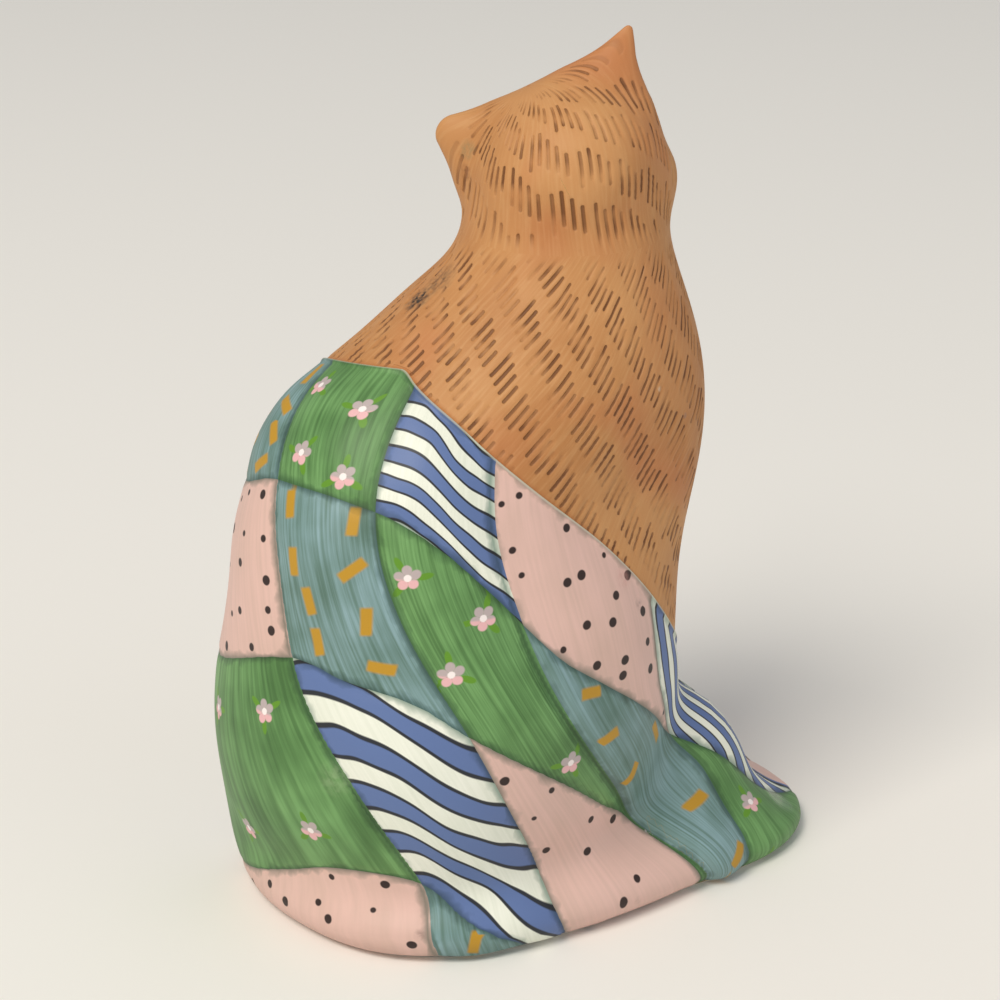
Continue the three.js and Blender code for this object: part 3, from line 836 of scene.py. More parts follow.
def stroke_fade(place, up):
    """How clear the strokes are: less on the ears, none at the crown, the ring and the face.

    Each is a ramp by distance: from the ears, the crown's direction, the ring, the muzzle.
    """
    nearest = np.minimum.reduce([ear_distance(place, *ear) for ear in EARS.values()])
    skull = mass_distance(place, *HEAD_MASSES["skull"])
    on_ears = ramp(skull - np.maximum(nearest, 0) * 2, *CLEAR_OF_EARS)
    from_crown = np.arccos(np.clip(unit(place)[..., 2], -1, 1)) * SKULL_RADIUS
    from_muzzle = np.linalg.norm(place - np.array(MUZZLE), axis=-1)
    clear = ramp(from_crown, *CLEAR_OF_CROWN) * ramp(np.abs(up), *CLEAR_OF_RING)
    return (1 - EAR_LOSS * on_ears) * clear * ramp(from_muzzle, *CLEAR_OF_MUZZLE)


class Skin:
    """Rows of points from the foot to below the crown, with what the materials read from them."""

    def __init__(self, settings):
        rows, self.crown = fine_form()
        self.edge_row = FINE_QUILT_ROWS
        self.neck_row = self.edge_row + FINE_COAT_ROWS
        self.from_edge = row_distances(rows, self.edge_row)
        normals = unit(gradient(rows, form(rows)))
        number = np.arange(len(rows))[:, None]
        offset = np.where(number <= self.edge_row, self.quilt_height(rows, normals, settings),
                          self.coat_height(rows, settings))
        points = rows + normals * offset[..., None]
        lowest = FOOT_ROUNDING * (1 + number / self.edge_row)
        points[..., 2] = np.where(number <= self.edge_row,
                                  np.maximum(points[..., 2], lowest), points[..., 2])
        points[0] = rows[0]
        points[0, :, 2] = FOOT_ROUNDING
        self.rows = points

    def quilt_height(self, rows, normals, settings):
        """How far the quilt stands out in millimetres: its thickness, patches and fold.

        At the edge the thickness rounds off as t sqrt(1 - b^2), where b rises to 1, and at the
        hem all of it is tucked in by the square root of the height.
        """
        self.across, self.down = patch_place(angle_of(rows), rows[..., 2])
        self.size, self.per_across, self.per_down = patch_steps(rows, normals)
        bead = 1 - ramp(-self.from_edge, 0, EDGE_ROUNDING)
        height = settings.quilt_thickness / MM * np.sqrt(1 - bead ** 2)
        relief = padding(self.across, self.down, self.size, settings.padding / MM)
        relief += fold_relief(self.across, self.down, self.size[..., 0])
        height += relief * (1 - bead)
        return height * ramp(rows[..., 2], 0, HEM_TUCK) ** 0.5

    def coat_height(self, rows, settings):
        """How far the coat stands out in millimetres: face and front, less strokes and crevice.

        The crevice beside the quilt is h exp(-(d / reach)^2).
        """
        place = in_head(rows)
        up = row_distances(rows, self.neck_row)
        self.on_coat, self.coat_turn, unwrapped = coat_place(rows, up)
        self.on_head = head_place(place)
        strokes = stroke_mask(self.on_coat[..., 0], self.on_coat[..., 1], COAT_SLANT)
        on_head = stroke_mask(self.on_head[..., 0], self.on_head[..., 1], HEAD_SLANT)
        strokes[self.neck_row + 1:] = on_head[self.neck_row + 1:]
        self.fade = stroke_fade(place, up)
        self.fade[:self.neck_row + 1] *= unwrapped[:self.neck_row + 1]
        away = AWAY_FROM_FACE * np.sign(place[..., 0]) * (place[..., 1] > BACK_OF_HEAD)
        self.face = np.stack([place[..., 0] + away, place[..., 2]], -1)
        height = face_relief(place) - settings.stroke_depth / MM * strokes * self.fade
        height += front_relief(rows, self.from_edge)
        return height - CREVICE_DEPTH * np.exp(-(self.from_edge / CREVICE_REACH) ** 2)

    def underside(self):
        """Rows from the vent's top over the flat underside to the foot's rounding.

        The rows between share out the way evenly, and the rounding is a quarter circle.
        """
        foot = self.rows[0].copy()
        foot[:, 2] = 0
        inward = unit(np.array([AXIS[0], AXIS[1], 0]) - foot)
        outward = -inward
        vent = np.array([AXIS[0], AXIS[1], 0]) + outward * VENT_RADIUS
        rows = [vent + np.array([0, 0, VENT_DEPTH]), vent]
        inset = foot + inward * FOOT_ROUNDING
        for share in (0.25, 0.5, 0.75):
            rows.append(vent * (1 - share) + inset * share)
        for angle in np.radians([0, 30, 60]):
            lift = FOOT_ROUNDING * (1 - math.cos(angle))
            rows.append(inset + outward * FOOT_ROUNDING * math.sin(angle) + np.array([0, 0, lift]))
        return np.stack(rows)


def skin_faces(row_count, columns):
    """Quads between rows, with a fan of triangles at the vent's top and one at the crown."""
    first = np.arange(row_count - 1)[:, None] * columns
    column = np.arange(columns)[None]
    beside = (column + 1) % columns
    quads = np.stack([first + column, first + beside, first + columns + beside,
                      first + columns + column], -1).reshape(-1, 4)
    vent_top = row_count * columns
    crown = vent_top + 1
    last = (row_count - 1) * columns
    fans = [(vent_top, int(b), int(a)) for a, b in zip(column[0], beside[0])]
    fans += [(last + int(a), last + int(b), crown) for a, b in zip(column[0], beside[0])]
    return quads, fans


def cat_mesh(settings):
    """The figurine's mesh, centred on the CAD solid's box, with its UV maps."""
    skin = Skin(settings)
    under = skin.underside()
    rows = np.concatenate([under, skin.rows])
    ends = np.array([[AXIS[0], AXIS[1], VENT_DEPTH], skin.crown])
    points = np.concatenate([rows.reshape(-1, 3), ends])
    points = (points - FORM_MIDDLE) * MM
    quads, fans = skin_faces(len(rows), FINE_COLUMNS)
    mesh = bpy.data.meshes.new("porcelain cat")
    mesh.from_pydata(points.tolist(), [], quads.tolist() + fans)
    mesh.polygons.foreach_set("use_smooth", np.ones(len(mesh.polygons), bool))
    add_maps(mesh, skin, len(under), quads)
    mesh.update()
    return mesh


def at_corners(values, quads, under_rows, turn=None):
    """Values at face corners, with those that go round brought to within half a turn."""
    below = np.zeros((under_rows * FINE_COLUMNS, 2))
    corners = np.concatenate([below, values.reshape(-1, 2)])[quads]
    if turn is not None:
        turn = np.broadcast_to(turn, values.shape[:-1]).ravel()
        turn = np.concatenate([below[:, 0] + 1, turn])[quads]
        corners[..., 0] += np.round((corners[:, :1, 0] - corners[..., 0]) / turn) * turn
    return corners


def add_maps(mesh, skin, under_rows, quads):
    """UV maps at face corners, and the finish of each face by its row."""
    columns = FINE_COLUMNS
    face_rows = np.arange(len(quads)) // columns - under_rows
    quilt = np.stack([skin.across, skin.down], -1)
    fur = at_corners(skin.on_coat, quads, under_rows, skin.coat_turn)
    head_fur = at_corners(skin.on_head, quads, under_rows, 2 * math.pi * SKULL_RADIUS)
    on_head = face_rows >= skin.neck_row
    fur[on_head] = head_fur[on_head]
    maps = {
        "quilt": at_corners(quilt, quads, under_rows, len(DOWN_SEAMS)),
        "patch size": at_corners(skin.size, quads, under_rows),
        "step across": at_corners(skin.per_across, quads, under_rows),
        "step down": at_corners(skin.per_down, quads, under_rows),
        "fur": fur,
        "fade": at_corners(np.stack([skin.fade, skin.from_edge], -1), quads, under_rows),
        "face": at_corners(skin.face, quads, under_rows),
    }
    in_fans = np.zeros((2 * 3 * columns, 2))
    for name, corners in maps.items():
        loops = np.concatenate([corners.reshape(-1, 2), in_fans])
        layer = mesh.uv_layers.new(name=name)
        layer.data.foreach_set("uv", loops.astype(np.float32).ravel())
    # Finishes in the order of the mesh's materials: underside, quilt, coat and head
    finish = np.full(len(mesh.polygons), 3)
    finish[:len(quads)] = np.select(
        [face_rows < -1, face_rows < skin.edge_row, face_rows < skin.neck_row],
        [0, 1, 2], 3)
    finish[len(quads):len(quads) + columns] = 0
    mesh.polygons.foreach_set("material_index", finish.astype(np.int32))


def linear(colour):
    """An sRGB hex colour turned linear, with alpha one."""
    shares = [int(colour[k:k + 2], 16) / 255 for k in (1, 3, 5)]
    return tuple(s / 12.92 if s <= 0.04045 else ((s + 0.055) / 1.055) ** 2.4
                 for s in shares) + (1.0,)


def node(tree, kind, inputs=(), output=0, **settings):
    """Adds a shader node with its settings, values and links, and gives one of its outputs."""
    made = tree.nodes.new("ShaderNode" + kind)
    for name, value in settings.items():
        setattr(made, name, value)
    for key, value in (inputs.items() if isinstance(inputs, dict) else enumerate(inputs)):
        if isinstance(value, bpy.types.NodeSocket):
            tree.links.new(value, made.inputs[key])
        else:
            made.inputs[key].default_value = value
    return made.outputs[output]


def new_material(name, roughness):
    """A material with its shader, and the shader's tree."""
    material = bpy.data.materials.new(name)
    material.use_nodes = True
    shader = material.node_tree.nodes["Principled BSDF"]
    shader.inputs["Roughness"].default_value = roughness
    shader.inputs["IOR"].default_value = PORCELAIN_IOR
    return material, material.node_tree, shader


def worn(tree, colour, marks):
    """Colour with wear laid over it: each mark fades from its place and is broken up by noise."""
    place = node(tree, "TexCoord", output="Object")
    speckle = node(tree, "TexNoise", {"Vector": place, "Scale": 1 / (WEAR_SPECKS * MM),
                                      "Detail": 3.0})
    for at, reach, strength, hexadecimal in marks.values():
        centre = tuple((np.array(at) - FORM_MIDDLE) * MM)
        distance = node(tree, "VectorMath", (place, centre), output=1, operation="DISTANCE")
        near = node(tree, "MapRange", (distance, reach * MM, 0.2 * reach * MM, 0.0, 1.0))
        broken = node(tree, "MapRange", (speckle, 0.38, 0.62, 0.25, 1.0))
        share = node(tree, "Math", (near, broken), operation="MULTIPLY")
        share = node(tree, "Math", (share, strength), operation="MULTIPLY")
        colour = node(tree, "Mix", {0: share, 6: colour, 7: linear(hexadecimal)}, output=2,
                      data_type="RGBA")
    return colour


def stroke_nodes(tree, place, slant):
    """The strokes of stroke_mask: their mask, a share for each, and the place turned to them."""
    turned_place = node(tree, "VectorRotate", {"Vector": place, "Angle": math.radians(90 - slant)},
                        rotation_type="Z_AXIS")
    a = node(tree, "SeparateXYZ", (turned_place,), output=0)
    b = node(tree, "SeparateXYZ", (turned_place,), output=1)
    a = node(tree, "Math", (a, STROKE_SPACING), operation="DIVIDE")
    i = node(tree, "Math", (a,), operation="FLOOR")
    b = node(tree, "Math", (i, STROKE_STAGGER, b), operation="MULTIPLY_ADD")
    b = node(tree, "Math", (b, STROKE_ROW), operation="DIVIDE")
    j = node(tree, "Math", (b,), operation="FLOOR")
    cell = node(tree, "CombineXYZ", (i, j, 0.0))
    shares = []
    for weights, first_share in ((FIRST_WEIGHTS, 0.0), (SECOND_WEIGHTS, SECOND_START)):
        share = node(tree, "VectorMath", (cell, (*weights, 0)), output=1, operation="DOT_PRODUCT")
        share = node(tree, "Math", (share, first_share), operation="ADD")
        shares.append(node(tree, "Math", (share,), operation="FRACT"))
    offsets = []
    for at, share, stray, size in ((a, shares[0], STRAY_ACROSS, STROKE_SPACING),
                                   (b, shares[1], STRAY_ALONG, STROKE_ROW)):
        within = node(tree, "Math", (at,), operation="FRACT")
        move = node(tree, "Math", (share, -stray, stray / 2 - 0.5), operation="MULTIPLY_ADD")
        within = node(tree, "Math", (within, move), operation="ADD")
        offsets.append(node(tree, "Math", (within, size), operation="MULTIPLY"))
    across, length = offsets
    squared = node(tree, "Math", (length, length), operation="MULTIPLY")
    across = node(tree, "Math", (squared, STROKE_BEND, across), operation="MULTIPLY_ADD")
    half = node(tree, "Math", (shares[0], LENGTH_SPREAD * STROKE_HALF,
                               (1 - LENGTH_SPREAD / 2) * STROKE_HALF), operation="MULTIPLY_ADD")
    length = node(tree, "Math", (length,), operation="ABSOLUTE")
    beyond = node(tree, "Math", (length, half), operation="SUBTRACT")
    beyond = node(tree, "Math", (beyond, 0.0), operation="MAXIMUM")
    offset = node(tree, "CombineXYZ", (across, beyond, 0.0))
    distance = node(tree, "VectorMath", (offset,), output=1, operation="LENGTH")
    mask = node(tree, "MapRange", (distance, STROKE_WIDTH, 0.5 * STROKE_WIDTH, 0.0, 1.0))
    return mask, shares[1], turned_place


def coat_wash(tree, body, along, settings):
    """The coat's wash of dark and light clouds, brush marks and a red blush, and its marks."""
    clouds = node(tree, "TexNoise", {"Vector": body, "Scale": 1 / (COAT_CLOUDS * MM),
                                     "Detail": 2.0})
    blush = node(tree, "TexNoise", {"Vector": body, "Scale": 1 / (COAT_BLUSH * MM),
                                    "Detail": 1.0, "Distortion": 0.6})
    brushed = node(tree, "VectorMath", (along, (1 / COAT_BRUSH[0], 1 / COAT_BRUSH[1], 0)),
                   operation="MULTIPLY")
    brush = node(tree, "TexNoise", {"Vector": brushed, "Scale": 1.0, "Detail": 3.0})
    colour = (*settings.coat_dark, 1)
    for pattern, least, most, strength, wash in (
            (clouds, 0.32, 0.68, 1.0, (*settings.coat, 1)),
            (brush, 0.45, 0.8, 0.55, (*settings.coat_light, 1)),
            (blush, 0.52, 0.72, 0.5, linear("#BA6C3F"))):
        share = node(tree, "MapRange", (pattern, least, most, 0.0, strength))
        colour = node(tree, "Mix", {0: share, 6: colour, 7: wash}, output=2, data_type="RGBA")
    return colour, brush


def coat_material(name, slant, settings, marks, faced):
    """Bisque porcelain under a stain: matt orange, with brown gathered in the pressed strokes."""
    material, tree, shader = new_material(name, COAT_ROUGHNESS)
    place = node(tree, "UVMap", uv_map="fur")
    body = node(tree, "TexCoord", output="Object")
    fade_map = node(tree, "UVMap", uv_map="fade")
    fade = node(tree, "SeparateXYZ", (fade_map,), output=0)
    from_edge = node(tree, "SeparateXYZ", (fade_map,), output=1)
    mask, stroke_share, along = stroke_nodes(tree, place, slant)
    colour, brush = coat_wash(tree, body, along, settings)

    banded = node(tree, "VectorMath", (along, (1 / STAIN_BANDS[0], 1 / STAIN_BANDS[1], 0)),
                  operation="MULTIPLY")
    bands = node(tree, "TexNoise", {"Vector": banded, "Scale": 1.0, "Detail": 1.0})
    strength = node(tree, "MapRange", (bands, 0.38, 0.56, *STAIN_BY_BAND))
    strength = node(tree, "Math", (strength, fade), operation="MULTIPLY")
    weight = node(tree, "MapRange", (stroke_share, 0.0, 1.0, *STAIN_BY_STROKE))
    strength = node(tree, "Math", (strength, weight), operation="MULTIPLY")
    stain = node(tree, "Math", (mask, strength), operation="MULTIPLY")
    stained = node(tree, "Math", (stain, STAIN_OVER_ALL), operation="MULTIPLY")
    colour = node(tree, "Mix", {0: stained, 6: colour, 7: (*settings.stain, 1)}, output=2,
                  data_type="RGBA")
    # Painted shade: the coat is darkened towards the quilt's edge, where the crevice lies in shade.
    start, end, most = CREVICE_PAINTED_SHADE
    crevice = node(tree, "MapRange", (from_edge, start, end, 0.0, most))
    colour = node(tree, "Mix", {0: crevice, 6: colour, 7: linear("#B26A35")}, output=2,
                  data_type="RGBA")
    if faced:
        colour = painted_face(tree, colour)
    colour = worn(tree, colour, marks)
    tree.links.new(colour, shader.inputs["Base Color"])

    grain = node(tree, "TexNoise", {"Vector": body, "Scale": 1 / (COAT_GRAIN * MM),
                                    "Detail": 2.0})
    low = node(tree, "Math", (stain, -1.0), operation="MULTIPLY")
    rough = node(tree, "Math", (grain, 0.10), operation="MULTIPLY")
    height = node(tree, "Math", (brush, 0.12, rough), operation="MULTIPLY_ADD")
    height = node(tree, "Math", (height, low), operation="ADD")
    normal = node(tree, "Bump", {"Strength": 0.8, "Distance": COAT_BUMP * MM, "Height": height})
    tree.links.new(normal, shader.inputs["Normal"])
    return material


def painted_face(tree, colour):
    """Colour with plain painted eyes and nose, drawn as ellipses on the face."""
    place = node(tree, "UVMap", uv_map="face")
    x = node(tree, "SeparateXYZ", (place,), output=0)
    z = node(tree, "SeparateXYZ", (place,), output=1)
    beside = node(tree, "Math", (x,), operation="ABSOLUTE")
    for across, middle, half_width, half_height, hexadecimal in FACE_PAINT:
        side = node(tree, "Math", (beside, across), operation="SUBTRACT")
        side = node(tree, "Math", (side, half_width), operation="DIVIDE")
        rise = node(tree, "Math", (z, middle), operation="SUBTRACT")
        rise = node(tree, "Math", (rise, half_height), operation="DIVIDE")
        spot = node(tree, "CombineXYZ", (side, rise, 0.0))
        reach = node(tree, "VectorMath", (spot,), output=1, operation="LENGTH")
        inside = node(tree, "MapRange", (reach, 1.06, 0.94, 0.0, 1.0))
        colour = node(tree, "Mix", {0: inside, 6: colour, 7: linear(hexadecimal)}, output=2,
                      data_type="RGBA")
    return colour


def motif_code(tree, across, down):
    """The number of the motif painted on a patch, looked up in the quilt's layout."""
    place = node(tree, "Math", (across, len(DOWN_SEAMS)), operation="DIVIDE")
    code = None
    for row, motifs in enumerate(QUILT_LAYOUT):
        strip = node(tree, "ValToRGB", (place,))
        numbers = strip.node.color_ramp
        numbers.interpolation = "CONSTANT"
        for k, motif in enumerate(motifs):
            stop = numbers.elements[k] if k < 2 else numbers.elements.new(k / len(motifs))
            stop.position = k / len(motifs)
            stop.color = (MOTIFS[motif] / MOTIF_SCALE,) * 3 + (1,)
        if code is None:
            code = strip
        else:
            below = node(tree, "Math", (down, float(row)), operation="GREATER_THAN")
            code = node(tree, "Mix", {0: below, 6: code, 7: strip}, output=2, data_type="RGBA")
    return node(tree, "Math", (code, MOTIF_SCALE), operation="MULTIPLY")


def painted_with(tree, code, motif):
    """1 on patches painted with a motif and 0 elsewhere."""
    return node(tree, "Math", (code, float(MOTIFS[motif]), 0.3), operation="COMPARE")


def scattered(tree, place, counts, jitter, seed):
    """Offset in millimetres from the mark of a cell of the patch, and the cell's three shares.

    The mark lies at the cell's middle, moved by jitter (share - 0.5) each way.
    """
    counts = (*counts, 1)
    scaled = node(tree, "VectorMath", (place, counts), operation="MULTIPLY")
    cell = node(tree, "VectorMath", (scaled,), operation="FLOOR")
    seeded = node(tree, "VectorMath", (cell, (seed, seed / 2, 0)), operation="ADD")
    shares = node(tree, "TexWhiteNoise", {"Vector": seeded}, output="Color",
                  noise_dimensions="2D")
    within = node(tree, "VectorMath", (scaled,), operation="FRACTION")
    moved = node(tree, "VectorMath", (shares, (-jitter, -jitter, 0),
                                      (jitter / 2 - 0.5, jitter / 2 - 0.5, 0)),
                 operation="MULTIPLY_ADD")
    offset = node(tree, "VectorMath", (within, moved), operation="ADD")
    offset = node(tree, "VectorMath", (offset, counts), operation="DIVIDE")
    across = node(tree, "SeparateXYZ", (offset,), output=0)
    down = node(tree, "SeparateXYZ", (offset,), output=1)
    step_across = node(tree, "UVMap", uv_map="step across")
    step_down = node(tree, "UVMap", uv_map="step down")
    by_across = node(tree, "VectorMath", {0: step_across, "Scale": across}, operation="SCALE")
    by_down = node(tree, "VectorMath", {0: step_down, "Scale": down}, operation="SCALE")
    offset = node(tree, "VectorMath", (by_across, by_down), operation="ADD")
    return offset, shares


def dot_mask(tree, place):
    """Round dots, brushed on one by one, so each has its own size."""
    offset, shares = scattered(tree, place, *DOTS)
    distance = node(tree, "VectorMath", (offset,), output=1, operation="LENGTH")
    share = node(tree, "SeparateXYZ", (shares,), output=2)
    radius = node(tree, "MapRange", (share, 0.0, 1.0, *DOT_RADII))
    beyond = node(tree, "Math", (distance, radius), operation="SUBTRACT")
    return node(tree, "MapRange", (beyond, *DOT_EDGE, 0.0, 1.0))


def dash_mask(tree, place):
    """Short dashes turned every way."""
    offset, shares = scattered(tree, place, *DASHES)
    turn = node(tree, "SeparateXYZ", (shares,), output=2)
    turn = node(tree, "Math", (turn, 2 * math.pi), operation="MULTIPLY")
    dash = node(tree, "VectorRotate", {"Vector": offset, "Angle": turn}, rotation_type="Z_AXIS")
    dash = node(tree, "VectorMath", (dash,), operation="ABSOLUTE")
    dash = node(tree, "VectorMath", (dash, (DASH_LENGTH / 2, DASH_WIDTH / 2, 0)),
                operation="SUBTRACT")
    long_side = node(tree, "SeparateXYZ", (dash,), output=0)
    short_side = node(tree, "SeparateXYZ", (dash,), output=1)
    beyond = node(tree, "Math", (long_side, short_side, DASH_ROUNDING), operation="SMOOTH_MAX")
    return node(tree, "MapRange", (beyond, *DASH_EDGE, 0.0, 1.0))


def flower_masks(tree, place):
    """Five-petalled flowers: petals, the share of the lower petals, centre and leaves.

    Around the flower the angle is folded into five for the petals, each a disc beside the
    middle, and into three for the leaves, each an ellipse further out.
    """
    offset, shares = scattered(tree, place, *FLOWERS)
    x = node(tree, "SeparateXYZ", (offset,), output=0)
    y = node(tree, "SeparateXYZ", (offset,), output=1)
    share = node(tree, "SeparateXYZ", (shares,), output=2)
    radius = node(tree, "VectorMath", (offset,), output=1, operation="LENGTH")
    angle = node(tree, "Math", (y, x), operation="ARCTAN2")
    angle = node(tree, "Math", (share, 2 * math.pi, angle), operation="MULTIPLY_ADD")
    folded = []
    for count in (PETALS, LEAVES):
        around = node(tree, "Math", (angle, count / (2 * math.pi)), operation="MULTIPLY")
        around = node(tree, "Math", (around,), operation="FRACT")
        around = node(tree, "Math", (around, 2 * math.pi / count, -math.pi / count),
                      operation="MULTIPLY_ADD")
        cosine = node(tree, "Math", (around,), operation="COSINE")
        sine = node(tree, "Math", (around,), operation="SINE")
        folded.append((node(tree, "Math", (radius, cosine), operation="MULTIPLY"),
                       node(tree, "Math", (radius, sine), operation="MULTIPLY")))
    shapes = []
    for (out, side), middle, half in zip(folded, (PETAL_PLACE, LEAF_PLACE),
                                         (PETAL_HALF, LEAF_HALF)):
        out = node(tree, "Math", (out, middle), operation="SUBTRACT")
        out = node(tree, "Math", (out, half[0]), operation="DIVIDE")
        side = node(tree, "Math", (side, half[1]), operation="DIVIDE")
        spot = node(tree, "CombineXYZ", (out, side, 0.0))
        reach = node(tree, "VectorMath", (spot,), output=1, operation="LENGTH")
        shapes.append(node(tree, "MapRange", (reach, 1.1, 0.85, 0.0, 1.0)))
    petals, leaves = shapes
    centre = node(tree, "MapRange", (radius, 0.95 * FLOWER_CENTRE, 0.7 * FLOWER_CENTRE, 0.0, 1.0))
    lower = node(tree, "MapRange", (y, 0.1, 0.6, 0.0, 1.0))
    return petals, lower, centre, leaves


def stripe_masks(tree, place, standing):
    """Wavy bands and the thin dark lines along them, across a patch or standing in it."""
    across = node(tree, "SeparateXYZ", (place,), output=0)
    down = node(tree, "SeparateXYZ", (place,), output=1)
    run = node(tree, "Mix", {0: standing, 2: down, 3: across}, data_type="FLOAT")
    other = node(tree, "Mix", {0: standing, 2: across, 3: down}, data_type="FLOAT")
    count = node(tree, "Mix", {0: standing, 2: STRIPES_LYING, 3: STRIPES_STANDING},
                 data_type="FLOAT")
    wobble = node(tree, "TexNoise", {"Vector": place, "Scale": WOBBLE_SCALE, "Detail": 1.0})
    wave = node(tree, "Math", (other, 2 * math.pi), operation="MULTIPLY")
    wave = node(tree, "Math", (wave,), operation="SINE")
    wave = node(tree, "Math", (wave, STRIPE_WAVE), operation="MULTIPLY")
    bands = node(tree, "Math", (run, count, wave), operation="MULTIPLY_ADD")
    bands = node(tree, "Math", (wobble, STRIPE_WOBBLE, bands), operation="MULTIPLY_ADD")
    band = node(tree, "Math", (bands,), operation="FRACT")
    middle = node(tree, "Math", (band, 0.5), operation="SUBTRACT")
    middle = node(tree, "Math", (middle,), operation="ABSOLUTE")
    blue = node(tree, "MapRange", (middle, *STRIPE_EDGE, 0.0, 1.0))
    line = node(tree, "Math", (middle, STRIPE_LINE), operation="SUBTRACT")
    line = node(tree, "Math", (line,), operation="ABSOLUTE")
    dark = node(tree, "MapRange", (line, *STRIPE_LINE_EDGE, 0.0, 1.0))
    return blue, dark


def brushed_wash(tree, place, body, code, settings):
    """The wash of each patch, uneven by brush streaks and clouds, and the streaks."""
    code_share = node(tree, "Math", (code, MOTIF_SCALE), operation="DIVIDE")
    colour = node(tree, "ValToRGB", (code_share,))
    washes = colour.node.color_ramp
    washes.interpolation = "CONSTANT"
    for k, wash in enumerate((settings.green, settings.blue, settings.pink, settings.cream,
                              settings.cream)):
        stop = washes.elements[k] if k < 2 else washes.elements.new(k / MOTIF_SCALE)
        stop.position = max(0, (k - 0.5) / MOTIF_SCALE)
        stop.color = (*wash, 1)
    streaks_to_a_patch = (PATCH_SIZE[0] / STREAK_SIZE[0], PATCH_SIZE[1] / STREAK_SIZE[1], 0)
    streak_place = node(tree, "VectorMath", (place, streaks_to_a_patch), operation="MULTIPLY")
    streaks = node(tree, "TexNoise", {"Vector": streak_place, "Scale": 1.0, "Detail": 3.0})
    clouds = node(tree, "TexNoise", {"Vector": body, "Scale": 1 / (QUILT_CLOUDS * MM),
                                     "Detail": 2.0})
    uneven = node(tree, "Math", (painted_with(tree, code, "flowers"),
                                 painted_with(tree, code, "dashes")), operation="ADD")
    uneven = node(tree, "Math", (uneven, 0.75, 0.15), operation="MULTIPLY_ADD")
    for pattern, most, tint in ((streaks, 0.65, "#B2C0AC"), (clouds, 0.7, "#B9C8B4")):
        share = node(tree, "MapRange", (pattern, 0.35, most, 0.0, 1.0))
        share = node(tree, "Math", (share, uneven), operation="MULTIPLY")
        darker = node(tree, "Mix", {0: 1.0, 6: colour, 7: linear(tint)}, output=2,
                      data_type="RGBA", blend_type="MULTIPLY")
        colour = node(tree, "Mix", {0: share, 6: colour, 7: darker}, output=2, data_type="RGBA")
    return colour, streaks


def with_motifs(tree, colour, place, code, settings):
    """Colour with each patch's own motif painted over it."""
    flowered, dashed, dotted, lying, standing = [painted_with(tree, code, motif)
                                                 for motif in MOTIFS]
    striped = node(tree, "Math", (lying, standing), operation="ADD")
    petals, lower, centre, leaves = flower_masks(tree, place)
    petal = node(tree, "Mix", {0: lower, 6: linear("#B9ABAA"), 7: linear("#E6B4B6")}, output=2,
                 data_type="RGBA")
    blue, dark = stripe_masks(tree, place, standing)
    layers = [
        (flowered, leaves, linear("#5E9220")), (flowered, petals, petal),
        (flowered, centre, linear("#F6ECEA")),
        (dashed, dash_mask(tree, place), (*settings.mustard, 1)),
        (dotted, dot_mask(tree, place), linear("#2A1612")),
        (striped, blue, (*settings.stripe, 1)), (striped, dark, linear("#20242C")),
    ]
    for where, mask, paint in layers:
        share = node(tree, "Math", (where, mask), operation="MULTIPLY")
        colour = node(tree, "Mix", {0: share, 6: colour, 7: paint}, output=2, data_type="RGBA")
    return colour


def quilt_material(settings):
    """Painted bisque: washes of colour brushed down each patch, with small motifs over them."""
    material, tree, shader = new_material("painted bisque quilt", QUILT_ROUGHNESS)
    quilt_map = node(tree, "UVMap", uv_map="quilt")
    size = node(tree, "UVMap", uv_map="patch size")
    body = node(tree, "TexCoord", output="Object")
    across = node(tree, "SeparateXYZ", (quilt_map,), output=0)
    across = node(tree, "Math", (across, float(len(DOWN_SEAMS)), 0.0), operation="WRAP")
    down = node(tree, "SeparateXYZ", (quilt_map,), output=1)
    place = node(tree, "CombineXYZ", (across, down, 0.0))
    code = motif_code(tree, across, down)
    colour, streaks = brushed_wash(tree, place, body, code, settings)
    colour = with_motifs(tree, colour, place, code, settings)
    colour = seamed(tree, colour, place, size, body)
    colour = worn(tree, colour, QUILT_MARKS)
    tree.links.new(colour, shader.inputs["Base Color"])

    at, reach = GLAZED_DAB
    centre = tuple((np.array(at) - FORM_MIDDLE) * MM)
    distance = node(tree, "VectorMath", (body, centre), output=1, operation="DISTANCE")
    dull = node(tree, "MapRange", (distance, 0.5 * reach * MM, reach * MM, GLAZED_ROUGHNESS,
                                   QUILT_ROUGHNESS))
    tree.links.new(dull, shader.inputs["Roughness"])

    grain = node(tree, "TexNoise", {"Vector": body, "Scale": 1 / (QUILT_GRAIN * MM),
                                    "Detail": 2.0})
    rough = node(tree, "Math", (grain, 0.35), operation="MULTIPLY")
    height = node(tree, "Math", (streaks, 0.65, rough), operation="MULTIPLY_ADD")
    normal = node(tree, "Bump", {"Strength": 0.5, "Distance": QUILT_BUMP * MM,
                                 "Height": height})
    tree.links.new(normal, shader.inputs["Normal"])
    return material


